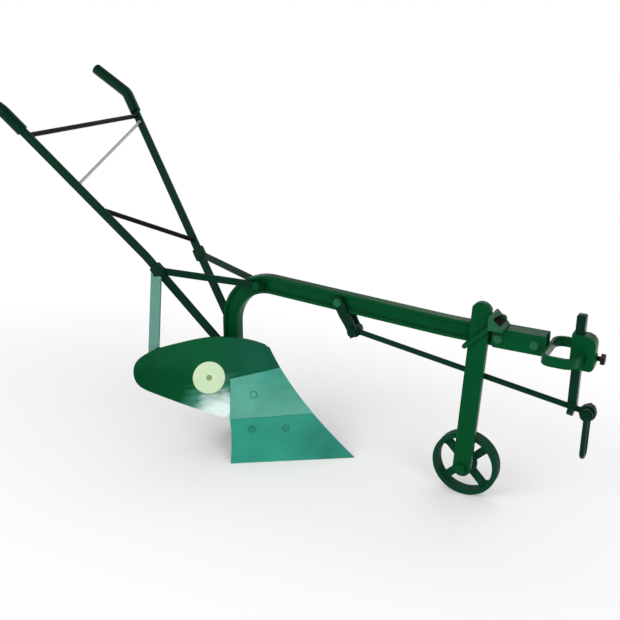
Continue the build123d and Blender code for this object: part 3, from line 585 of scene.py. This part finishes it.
def joined(name, *parts):
    select_only(*parts)
    bpy.ops.object.join()
    piece = bpy.context.object
    piece.name = piece.data.name = name
    return piece


def painted(piece, finish):
    piece.data.materials.clear()
    piece.data.materials.append(finish_of(finish))


def settled(piece, body, finish, *nodes):
    """Gives a finished piece its paint, its body and the solids it stands for."""
    painted(piece, finish)
    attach(piece, body)
    if nodes:
        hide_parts(*nodes)


def set_out(pattern, name, places):
    """Copies a pattern to its places, each copy with its own mesh and number, and drops it."""
    copies = []
    for number, place in enumerate(places, 1):
        select_only(pattern)
        bpy.ops.object.duplicate()
        copies.append(placed(name.format(number), place))
    select_only(pattern)
    bpy.ops.object.delete()
    return copies


class PLOUGH_OT_paint(bpy.types.Operator):
    """Give every solid its own finish"""

    bl_idname = "plough.paint"
    bl_label = "Paint the solids"

    def execute(self, context):
        slots = {
            "green_paint": "green_enamel",
            "black_paint": "black_enamel",
            "teal_paint": "share_enamel",
            "bare_steel": "bare_steel",
        }
        special = {
            "shin_plate": "plate_enamel",
            "board_stay": "stay_enamel",
            "mouldboard": "board_enamel",
            "landside_bolts": "bolt_enamel",
        }
        for piece in frame["record"]["subparts"]:
            node = piece["node"]
            painted(frame["nodes"][node], special.get(node, slots[piece["material_slot"]]))
        return {"FINISHED"}


class PLOUGH_OT_beam(bpy.types.Operator):
    """Draw the I-section beam along its gooseneck"""

    bl_idname = "plough.beam"
    bl_label = "Beam"

    def execute(self, context):
        deep, wide, flange, web = 48 * MM, 26 * MM, 8 * MM, 8 * MM
        neck_x, foot_z, bow_z, level_x, front_x = -678, 130, 464.61, -60, 165
        neck_bend, level_bend = 123, 1400
        foot = spot(neck_x, 0, foot_z)
        path = [foot, spot(neck_x, 0, bow_z), spot(level_x, 0, HEAD_Z), spot(front_x, 0, HEAD_Z)]
        grid, place = bpy.ops.mesh.primitive_grid_add, aimed(foot, Z, X, (deep, wide, 1))
        beam = added(grid, "beam_rolled", place, x_subdivisions=3, y_subdivisions=3, size=1)
        with editing(beam):
            # The inner lines of the grid move to the flanges and to the web
            pick(beam, lambda vert: abs(vert.co.x - foot.x) < deep / 3, "verts")
            share = (deep / 2 - flange) / (deep / 6)
            bpy.ops.transform.resize(value=(share, 1, 1), center_override=foot)
            pick(beam, lambda vert: abs(vert.co.y - foot.y) < wide / 3, "verts")
            share = (web / 2) / (wide / 6)
            bpy.ops.transform.resize(value=(1, share, 1), center_override=foot)

            def hollow(face):
                middle = face.calc_center_median()
                return abs(middle.x - foot.x) < deep / 8 and abs(middle.y - foot.y) > web / 2

            pick(beam, hollow)
            bpy.ops.mesh.delete(type="FACE")
            bpy.ops.mesh.select_all(action="SELECT")
            draw_out(path, (neck_bend, level_bend), 30)
        rounded(closed(beam), 1.4 * MM)
        settled(beam, "frame", "green_enamel", "beam")
        return {"FINISHED"}


class PLOUGH_OT_handles(bpy.types.Operator):
    """Draw the two flat handles and their bent tube grips"""

    bl_idname = "plough.handles"
    bl_label = "Handles and grips"

    def execute(self, context):
        start, wide, thick, bend = -36, 24, 10, 40
        for name, side in SIDES.items():
            flares = (FLARE, RIGHT_FLARE) if name == "right" else (FLARE,)
            path = [handle_spot(stop, side) for stop in (start, *flares, HANDLE_TOP)]
            handle = bar(f"handle_{name}_bar", path, HANDLE_BROAD, wide, thick, (bend, bend))
            rounded(handle, 2.4 * MM, 3)
            settled(handle, "frame", "dark_enamel", f"handle_{name}")
            grip = self.grip(f"grip_{name}_tube", side)
            settled(grip, "frame", "dark_enamel", f"grip_{name}")
        return {"FINISHED"}

    def grip(self, name, side):
        """A tube that is slipped over a handle's top and bent back to the hand."""
        radius, wall, bend, overlap, beyond = 15.5, 2.2, 50, 30, 34
        low, corner = (handle_spot(HANDLE_TOP + by, side) for by in (-overlap, beyond))
        end = corner + Vector((-119, 9 * side, 62)) * MM
        way = (corner - low).normalized()
        grip = round_face(name, aimed(low, way, way.orthogonal()), radius, 40)
        with editing(grip):
            bpy.ops.mesh.inset(thickness=wall * MM)
            bpy.ops.mesh.delete(type="FACE")
            bpy.ops.mesh.select_all(action="SELECT")
            draw_out([low, corner, end], (bend,), 14)
        return rounded(closed(grip), 0.8 * MM)


class PLOUGH_OT_braces(bpy.types.Operator):
    """Draw the rods between the handles, with a weld round each end"""

    bl_idname = "plough.braces"
    bl_label = "Braces and tie rod"

    def execute(self, context):
        weld = context.scene.plough_sizes.weld
        top, seat = HANDLE_TOP - 44, 5.5 * MM
        for node, right, left, radius, finish in (
            ("top_brace", top, top, 6.5, "black_enamel"),
            ("mid_brace", 560, 392, 6.5, "black_enamel"),
            ("tie_rod", 636, 780, 4, "bare_steel"),
        ):
            start, end = handle_spot(right, SIDES["right"]), handle_spot(left, SIDES["left"])
            way = (end - start).normalized()
            seats = [start + way * seat, end - way * seat]
            brace = smoothed(rod(f"{node}_rod", seats, radius), 40)
            beads = [self.weld_ring(at, way, radius * MM, weld) for at in seats]
            brace = joined(f"{node}_rod", brace, *beads)
            settled(brace, "frame", finish, node)
        return {"FINISHED"}

    def weld_ring(self, at, way, radius, weld):
        place, steps = aimed(at, way, way.orthogonal()), 24
        turns = [2 * pi * step / steps for step in range(steps + 1)]
        ring = [place @ Vector((radius * cos(turn), radius * sin(turn), 0)) for turn in turns]
        return weld_run("weld", ring, weld)


def spaced(corners, step):
    """Points a step apart along a line of straight runs."""
    points, left = [], 0.0
    for start, end in zip(corners, corners[1:]):
        run = (end - start).length
        while left < run:
            points.append(start.lerp(end, left / run))
            left += step
        left -= run
    return points


def weld_run(name, line, weld):
    """A weld: a drop of steel set again and again along its line, and the drops run together."""
    step, grain = 1.1 * weld, 0.24 * weld
    places = spaced(line, step)
    ball, start = bpy.ops.mesh.primitive_ico_sphere_add, Matrix.Translation(places[0])
    bead = added(ball, name, start, subdivisions=3, radius=weld)
    with editing(bead):
        for here, there in zip(places, places[1:]):
            bpy.ops.mesh.duplicate_move(TRANSFORM_OT_translate={"value": there - here})
    run_together(bead, grain)
    bpy.ops.object.shade_smooth()
    return bead


def weld_round(name, node, place, wide, thick, weld):
    """A weld where a bar, looked along from a place on it, meets a solid."""
    way = place.to_3x3().col[2]
    corners = [(-1, -1), (1, -1), (1, 1), (-1, 1), (-1, -1)]
    ring = [place @ (Vector((x * wide / 2, y * thick / 2, 0)) * MM) for x, y in corners]
    met = []
    for point in spaced(ring, 0.5 * weld):
        found, hit, *_ = frame["nodes"][node].ray_cast(point, way)
        if found:
            met.append(hit)
    return weld_run(name, [*met, met[0]], weld)


class PLOUGH_OT_welds(bpy.types.Operator):
    """Weld the knuckles to the handles, and the stays to the knuckles and the mouldboard"""

    bl_idname = "plough.welds"
    bl_label = "Welds"

    def execute(self, context):
        weld = context.scene.plough_sizes.weld
        handle, stay, board_stay = (26, 12), (18, 6), (32, 6)
        outside, bend_x, bend_y = 40 * MM, -614, 16
        for name, side in SIDES.items():
            knuckle = handle_spot(KNUCKLE, side)
            up = (handle_spot(KNUCKLE + 10, side) - knuckle).normalized()
            bend = spot(bend_x, side * bend_y, STAY_Z)
            on = (knuckle - bend).normalized()
            upright = (-X).rotation_difference(on) @ Z
            welds = [
                weld_round("weld", "knuckles", aimed(start, way, across), *section, weld)
                for start, way, across, section in (
                    (knuckle - up * outside, up, HANDLE_BROAD, handle),
                    (knuckle + up * outside, -up, HANDLE_BROAD, handle),
                    (bend, on, upright, stay),
                )
            ]
            piece = joined(f"knuckle_{name}_welds", *welds)
            settled(piece, "frame", "dark_enamel")
        top = handle_spot(KNUCKLE - 4, SIDES["right"]) - X * 10 * MM
        foot = face_spot(-791, 232)
        way = (foot - top).normalized()
        for name, node, start, ahead, finish in (
            ("board_stay_foot_weld", "mouldboard", top, way, "board_enamel"),
            ("board_stay_top_weld", "knuckles", (top + foot) / 2, -way, "dark_enamel"),
        ):
            piece = weld_round(name, node, aimed(start, ahead, X), *board_stay, weld)
            settled(piece, "frame", finish)
        return {"FINISHED"}


class PLOUGH_OT_rolled(bpy.types.Operator):
    """Round the edges of the flat bars, straps, cheeks and forgings"""

    bl_idname = "plough.rolled"
    bl_label = "Rolled and forged pieces"

    def execute(self, context):
        sizes = context.scene.plough_sizes
        edge = sizes.edge
        for body, finish, width, nodes in (
            ("frame", "green_enamel", edge, ("head_cheeks", "hake_bow", "landside")),
            ("frame", "dark_enamel", edge, ("stay_right", "stay_left", "hanger_straps")),
            ("frame", "bolt_enamel", edge, ("clamp_plate",)),
            ("frame", "green_enamel", sizes.cast_edge, ("frog",)),
            ("frame", "stay_enamel", edge, ("board_stay",)),
            ("frame", "board_enamel", edge, ("mouldboard",)),
            ("frame", "share_enamel", 0.8 * edge, ("share",)),
            ("frame", "plate_enamel", 0.8 * edge, ("shin_plate",)),
            ("wheel_carriage", "green_enamel", 1.4 * edge, ("wheel_standard",)),
            ("wheel_carriage", "dark_enamel", 0.4 * edge, ("axle_washers",)),
            ("hake_bar", "dark_enamel", edge, ("hake_bar",)),
        ):
            for node in nodes:
                piece = softened(node, f"{node}_rolled", width)
                settled(piece, body, finish, node)
        return {"FINISHED"}


class PLOUGH_OT_clip(bpy.types.Operator):
    """Shape the hake clip as a forging: a rounded nose, and a boss under the set bolt"""

    bl_idname = "plough.clip"
    bl_label = "Hake clip"

    def execute(self, context):
        low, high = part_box("hake_clip")
        clip = flattened(copied("hake_clip", "hake_clip_forged"))
        with editing(clip):
            for end, radius, turns in ((high.z, 24, (22, 45, 68)), (low.z, 12, (-30, -60))):
                for turn in turns:
                    self.pare(high.x, end, radius * MM, radians(turn))
        rounded(clip, 2.2 * MM, 3)
        boss_x, boss_radius, boss_deep = 274.5, 12, 8
        place = aimed(spot(boss_x, 0, CLIP_Z), X, Y)
        boss = rounded(drum("boss", place, boss_radius, boss_deep, 48), 2 * MM, 4)
        clip = joined("hake_clip_forged", clip, boss)
        settled(clip, "hake_clip", "green_enamel", "hake_clip")
        return {"FINISHED"}

    def pare(self, front, end, radius, turn):
        """Cuts the corner off a nose along a line that touches its rounding."""
        way = Vector((cos(turn), 0, sin(turn)))
        inward = -1 if turn > 0 else 1
        touch = Vector((front - radius, zero.y, end + inward * radius)) + way * radius
        bpy.ops.mesh.select_all(action="SELECT")
        bpy.ops.mesh.bisect(plane_co=touch, plane_no=way, use_fill=True, clear_outer=True)


class PLOUGH_OT_castings(bpy.types.Operator):
    """Run the edges of the castings and the forged eyes together"""

    bl_idname = "plough.castings"
    bl_label = "Castings"

    def execute(self, context):
        grain = context.scene.plough_sizes.grain
        for node, body, finish, rounds in (
            ("wheel", "wheel", "wheel_enamel", 8),
            ("draft_rod", "draft_rod", "dark_enamel", 6),
            ("clevis", "clevis", "dark_enamel", 6),
            ("knuckles", "frame", "dark_enamel", 12),
        ):
            piece = cast(node, f"{node}_cast", grain, rounds)
            settled(piece, body, finish, node)
        return {"FINISHED"}


def hexagon(across, low, high, outer):
    """A hexagon head or nut between two heights, its corners chamfered at the outer end."""
    radius = across / 2 / cos(pi / 6)
    piece = drum("hexagon", lifted((low + high) / 2), radius, high - low, 6)
    with editing(piece):
        pick(piece, lambda vert: abs(vert.co.z - outer * MM) < 1e-6, "verts")
        bpy.ops.mesh.bevel(offset=0.13 * across * MM, affect="VERTICES")
    return rounded(piece, 0.35 * MM)


def washer(across, low, high):
    piece = drum("washer", lifted((low + high) / 2), 0.62 * across, high - low)
    return rounded(piece, 0.3 * MM)


def shank(radius, start, plain, tip, pitch):
    """A bolt's shank, plain from its start to a height and threaded from there to its tip."""
    way = Z if tip > start else -Z
    piece = round_face("shank", lifted(start), radius)
    with editing(piece):
        pull(way * abs(plain - start) * MM)
        threaded(way, int(abs(tip - plain) * MM / pitch - 0.4), pitch)
    return smoothed(closed(piece), 25)


def hex_bolt(grip, sizes, radius=6, across=19, head=8):
    """A bolt along Z with its seat at zero: head, washers, nut and the thread past the nut."""
    nut, past = 10, 4
    thin, end = sizes.washer / MM, grip + nut
    return joined(
        "pattern",
        hexagon(across, -head, -thin, -head),
        washer(across, -thin, 0),
        shank(radius, -thin, end - 0.5, end + past, sizes.pitch),
        washer(across, grip, grip + thin),
        hexagon(across, grip + thin, end, end),
    )


class PLOUGH_OT_bolts(bpy.types.Operator):
    """Model the bolts with their washers, nuts and threads, and set them out"""

    bl_idname = "plough.bolts"
    bl_label = "Bolts and nuts"

    def execute(self, context):
        sizes = context.scene.plough_sizes
        turns = (0.35, 0.9)
        for node, finish, half_span, spots in (
            ("head_bolts", "bolt_enamel", 21, ((60, HEAD_Z), (144, HEAD_Z))),
            ("neck_bolts", "bolt_enamel", 22, ((-684, 158), (-684, 224))),
            ("handle_bolts", "bolt_enamel", 32, ((-628.5, 196.9), (-647.1, 220.4))),
            ("stay_bolt", "green_enamel", 19, ((-588, STAY_Z),)),
            ("hanger_bolt", "bolt_enamel", 19, ((-352, 447.53),)),
        ):
            pattern = hex_bolt(2 * half_span, sizes)
            places = [
                aimed(spot(x, -half_span, z), Y, (cos(turn), 0, sin(turn)))
                for turn, (x, z) in zip(turns, spots)
            ]
            copies = set_out(pattern, node + "_{}_hex", places)
            for copy in copies:
                settled(copy, "frame", finish)
            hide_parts(node)
        pin, bolt = (7, 22, 8), (8, 24, 10)
        for node, body, finish, size, grip, seat, turn in (
            ("hanger_pin", "rod_pin", "dark_enamel", pin, 29.92, (-312, -14.96, 375), 0.3),
            ("axle_bolt", "wheel_carriage", "green_enamel", bolt, 56.1, (AXLE_X, -29.3, AXLE_Z), 0.2),
        ):
            hex_bolt(grip, sizes, *size)
            piece = placed(f"{node}_hex", aimed(spot(*seat), Y, (1, 0, turn)))
            settled(piece, body, finish, node)
        return {"FINISHED"}


class PLOUGH_OT_clamp(bpy.types.Operator):
    """Draw the clamp's hook bolt with its thread, and its two nuts"""

    bl_idname = "plough.clamp"
    bl_label = "Clamp hook and nuts"

    def execute(self, context):
        pitch = context.scene.plough_sizes.pitch
        radius, bend, across, thick = 6, 8, 19, 9.6
        face_y, hook_y = -35.6, 13
        low, high = Vector((-15.78, face_y, 400.93)), Vector((46.02, face_y, 462.53))
        plain, seat, thread = 12, 20, 33
        way = (high - low).normalized()
        path = [spot(low.x, hook_y, low.z), spot(*low), spot(*(high + way * plain))]
        hook = round_face("clamp_hook_rod", aimed(path[0], path[1] - path[0], X), radius)
        with editing(hook):
            draw_out(path, (bend,), 10)
            threaded(way, int(thread * MM / pitch), pitch)
        smoothed(closed(hook), 25)
        settled(hook, "frame", "green_enamel", "clamp_hook")
        pattern = joined("pattern", hexagon(across, 0, thick, thick), washer(across, -0.2, 0.4))
        places = [
            aimed(spot(*(high + way * (seat + lift))), way, (0, 1, turn))
            for lift, turn in ((0.4, 0.2), (10.2, 0.7))
        ]
        nuts = set_out(pattern, "clamp_nut_{}_hex", places)
        for nut in nuts:
            settled(nut, "frame", "black_enamel")
        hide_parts("clamp_nuts")
        return {"FINISHED"}


class PLOUGH_OT_set_bolt(bpy.types.Operator):
    """Model the hake's square-headed set bolt with its thread"""

    bl_idname = "plough.set_bolt"
    bl_label = "Set bolt"

    def execute(self, context):
        square, thick, head_z = 18 * MM, 10 * MM, 35 * MM
        radius, start, plain, tip, zero_x = 6, 31, 28, 0.5, 256.3
        place = aimed(Z * head_z, Z, X, (square, square, thick))
        head = added(bpy.ops.mesh.primitive_cube_add, "head", place, size=1)
        with editing(head):
            pick(head, lambda vert: vert.co.z > head_z, "verts")
            bpy.ops.mesh.bevel(offset=2.4 * MM, affect="VERTICES")
        rounded(head, 0.5 * MM)
        joined("pattern", head, shank(radius, start, plain, tip, context.scene.plough_sizes.pitch))
        bolt = placed("set_bolt_square", aimed(spot(zero_x, 0, CLIP_Z), X, (0, 1, 0.25)))
        settled(bolt, "hake_clip", "black_enamel", "set_bolt")
        return {"FINISHED"}


class PLOUGH_OT_clevis_pin(bpy.types.Operator):
    """Model the clevis pin, its domed head and its split cotter"""

    bl_idname = "plough.clevis_pin"
    bl_label = "Clevis pin and cotter"

    def execute(self, context):
        x, z, seat, radius, past = 273, 287, 21.3, 7, 8
        head_radius, head_thick = 11, 5
        cotter_y, wire, gap = seat + 2.05, 1, 1.1
        shaft = rod("shaft", [spot(x, -seat, z), spot(x, seat + past, z)], radius)
        rounded(shaft, 1.2 * MM)
        head_place = aimed(spot(x, -seat - head_thick / 2, z), Y, X)
        head = rounded(drum("head", head_place, head_radius, head_thick), 1.8 * MM, 4)
        legs, corners = [], ((gap, 8), (gap, -10), (5, -14))
        for side in (-1, 1):
            path = [spot(x + side * out, cotter_y, z + up) for out, up in corners]
            legs.append(smoothed(rod("leg", path, wire, (2,), 4, 12), 50))
        torus, place = bpy.ops.mesh.primitive_torus_add, aimed(spot(x, cotter_y, z + 10.4), Y, X)
        radii = {"major_radius": 3 * MM, "minor_radius": 1.05 * MM}
        eye = added(torus, "eye", place, major_segments=28, minor_segments=10, **radii)
        bpy.ops.object.shade_smooth()
        pin = joined("clevis_pin_turned", shaft, head, *legs, eye)
        settled(pin, "clevis", "dark_enamel", "clevis_pin")
        return {"FINISHED"}


class PLOUGH_OT_board(bpy.types.Operator):
    """Fit the plain disc and the flush bolt heads to the working sheet"""

    bl_idname = "plough.board"
    bl_label = "Disc and flush bolts"

    def execute(self, context):
        self.disc(context.scene.plough_sizes.disc)
        self.flush_bolts()
        return {"FINISHED"}

    def disc(self, radius):
        """The plain disc, bent to the mouldboard's face, and the rivet in its middle."""
        x, z, rings = -684.5, 207, 6
        at, normal = face_spot(x, z), face_normal(x, z)
        above = aimed(at + normal * 4 * MM, normal, Z)
        disc = round_face("plain_disc", above, radius / MM, 72)
        with editing(disc):
            for _ in range(rings):
                bpy.ops.mesh.inset(thickness=radius / (rings + 1))
        down = {"wrap_method": "PROJECT", "use_negative_direction": True, "offset": 0.3 * MM}
        applied(disc, "SHRINKWRAP", target=frame["nodes"]["mouldboard"], **down)
        applied(disc, "SOLIDIFY", thickness=1.5 * MM, offset=1)
        rounded(disc, 0.6 * MM)
        settled(disc, "frame", "badge_enamel")
        ball, dome = bpy.ops.mesh.primitive_uv_sphere_add, aimed(at, normal, Z, (1, 1, 0.42))
        rivet = added(ball, "disc_rivet", dome, segments=40, ring_count=20, radius=9 * MM)
        with editing(rivet):
            bpy.ops.mesh.bisect(plane_co=at, plane_no=normal, use_fill=True, clear_inner=True)
        settled(smoothed(rivet, 40), "frame", "rivet_enamel")

    def flush_bolts(self):
        """Bolt heads flush with the share and the shin plate, each in a dark ring that is painted
        shade for the recess round it.
        """
        radius, thick, sunk, rim, crown = 8, 2, 0.4, 2.4, 0.35
        head = drum("head", lifted(-sunk), radius, thick)
        with editing(head):
            pick(head, lambda face: face.normal.z > 0.9)
            bpy.ops.mesh.inset(thickness=rim * MM)
            pull(Z * crown * MM)
            bpy.ops.transform.resize(value=(0.8, 0.8, 1))
        rounded(head, 0.25 * MM)
        # The ring is painted shade: a dark band round the head, standing in for the shade of its
        # recess
        outside, wide, deep, proud = 9.8, 2, 1.2, 0.4
        ring = round_face("ring", lifted(proud), outside, 40)
        with editing(ring):
            bpy.ops.mesh.inset(thickness=wide * MM)
            bpy.ops.mesh.delete(type="FACE")
        applied(ring, "SOLIDIFY", thickness=deep * MM, offset=-1)
        rounded(ring, 0.1 * MM)
        bolts = (
            ("share", -569.5, 71.4, "head_enamel"),
            ("share", -494.5, 69.8, "head_enamel"),
            ("shin_plate", -586.3, 153.5, "plate_enamel"),
        )
        places = [self.seat(node, x, z) for node, x, z, _ in bolts]
        for piece, (*_, finish) in zip(set_out(head, "flush_bolt_{}", places), bolts):
            settled(piece, "frame", finish)
        for piece in set_out(ring, "bolt_recess_{}", places):
            settled(piece, "frame", "recess_enamel")

    def seat(self, node, x, z):
        """The place on a sheet's own surface at a spot of the working face."""
        normal = face_normal(x, z)
        sheet = bpy.data.objects[f"{node}_rolled"]
        found, hit, up, _ = sheet.ray_cast(face_spot(x, z) + normal * 50 * MM, -normal)
        if not found:
            raise RuntimeError(f"no {node} under the flush bolt")
        return aimed(hit, up, Z)


class PLOUGH_OT_studio(bpy.types.Operator):
    """Set up the floor, the lamps, the sky and the camera"""

    bl_idname = "plough.studio"
    bl_label = "Studio"

    def execute(self, context):
        studio = context.scene.plough_studio
        floor = round_face("studio_floor", lifted(0), 9000, 96)
        floor.data.materials.append(self.floor_finish())
        self.sky(context, studio.sky)
        middle = spot(-380, 0, 300)
        for name, at, power, size in (
            ("key_light", spot(-1500, -2900, 2100), studio.key, 2.6),
            ("front_light", spot(1700, -1500, 1300), 0.35 * studio.key, 1.8),
            ("back_light", spot(-300, 2400, 2600), 0.36 * studio.key, 2.4),
        ):
            bpy.ops.object.light_add(type="AREA", location=at)
            lamp = context.object
            lamp.name = name
            lamp.data.energy = power
            lamp.data.size = size
            lamp.rotation_euler = (middle - at).to_track_quat("-Z", "Y").to_euler()
        self.camera(context, studio.lens)
        context.scene.view_settings.view_transform = "Standard"
        return {"FINISHED"}

    def seen_directly(self, tree):
        """1 for the rays that show a background: camera, mirror and glass rays."""
        light_path = wired(tree, "ShaderNodeLightPath").outputs
        seen = reckoned(tree, "MAXIMUM", light_path["Is Camera Ray"], light_path["Is Glossy Ray"])
        return reckoned(tree, "MAXIMUM", seen, light_path["Is Transmission Ray"])

    def floor_finish(self):
        material, tree, shader, place = new_finish("studio_white")
        white, pale = (1, 1, 1), (0.96, 0.96, 0.96)
        fed(tree, shader, {"Base Color": pale, "Roughness": 0.9, "Specular IOR Level": 0.1})
        # The floor's light is evened out to white away from the plough's long, narrow shadow
        narrowed = vectored(tree, "MULTIPLY", place, (0.55, 1, 1))
        far = ranged(tree, vectored(tree, "LENGTH", narrowed), 0.10, 0.95)
        share = reckoned(tree, "MULTIPLY", far, self.seen_directly(tree))
        glow = wired(tree, "ShaderNodeEmission", {"Color": white, "Strength": 1.0})
        surfaces = {0: share, 1: shader.outputs[0], 2: glow.outputs[0]}
        mix = wired(tree, "ShaderNodeMixShader", surfaces)
        fed(tree, tree.nodes["Material Output"], {"Surface": mix.outputs[0]})
        return material

    def sky(self, context, strength):
        world = bpy.data.worlds.new("studio_sky")
        context.scene.world = world
        world.use_nodes = True
        tree = world.node_tree
        # The camera sees white; in the gloss the backdrop is white low down and the ceiling dim
        light_path = wired(tree, "ShaderNodeLightPath").outputs
        way = wired(tree, "ShaderNodeTexCoord").outputs["Generated"]
        height = wired(tree, "ShaderNodeSeparateXYZ", {0: way}).outputs[2]
        backdrop = ranged(tree, height, 0.05, 0.36, 1.0, 0.24)
        shown = ranged(tree, light_path["Is Camera Ray"], 0, 1, backdrop, 1.0)
        level = ranged(tree, self.seen_directly(tree), 0, 1, strength, shown)
        fed(tree, tree.nodes["Background"], {"Color": (1, 1, 1), "Strength": level})

    def camera(self, context, lens):
        turn, tilt, roll = radians(28.51), radians(19.68), radians(0.35)
        at, sensor = spot(596.1, -1908.7, 1183.0), 36
        level = Vector((cos(turn), sin(turn), 0))
        ahead = Vector((-sin(turn) * cos(tilt), cos(turn) * cos(tilt), -sin(tilt)))
        upright = level.cross(ahead)
        right = cos(roll) * level + sin(roll) * upright
        top = cos(roll) * upright - sin(roll) * level
        bpy.ops.object.camera_add(location=at)
        camera = context.object
        camera.rotation_euler = Matrix((right, top, -ahead)).transposed().to_euler()
        camera.data.sensor_width = sensor
        camera.data.lens = lens
        context.scene.camera = camera


OPERATORS = (
    PLOUGH_OT_paint,
    PLOUGH_OT_beam,
    PLOUGH_OT_handles,
    PLOUGH_OT_braces,
    PLOUGH_OT_welds,
    PLOUGH_OT_rolled,
    PLOUGH_OT_clip,
    PLOUGH_OT_castings,
    PLOUGH_OT_bolts,
    PLOUGH_OT_clamp,
    PLOUGH_OT_set_bolt,
    PLOUGH_OT_clevis_pin,
    PLOUGH_OT_board,
    PLOUGH_OT_studio,
)
GROUPS = {
    "plough_colours": PloughColours,
    "plough_sizes": PloughSizes,
    "plough_studio": PloughStudio,
}


class PLOUGH_PT_panel(bpy.types.Panel):
    """The steps of the build, in order"""

    bl_idname = "PLOUGH_PT_panel"
    bl_label = "Ox plough"
    bl_space_type = "VIEW_3D"
    bl_region_type = "UI"
    bl_category = "Plough"

    def draw(self, context):
        for operator in OPERATORS:
            self.layout.operator(operator.bl_idname)
        for group, kind in GROUPS.items():
            for name in kind.__annotations__:
                self.layout.prop(getattr(context.scene, group), name)


def register():
    for kind in (*GROUPS.values(), *OPERATORS, PLOUGH_PT_panel):
        bpy.utils.register_class(kind)
    for name, kind in GROUPS.items():
        setattr(bpy.types.Scene, name, bpy.props.PointerProperty(type=kind))


def unregister():
    for name in GROUPS:
        delattr(bpy.types.Scene, name)
    for kind in reversed((*GROUPS.values(), *OPERATORS, PLOUGH_PT_panel)):
        bpy.utils.unregister_class(kind)


def main():
    register()
    for operator in OPERATORS:
        group, step = operator.bl_idname.split(".")
        getattr(getattr(bpy.ops, group), step)()


if __name__ == "__main__":
    main()
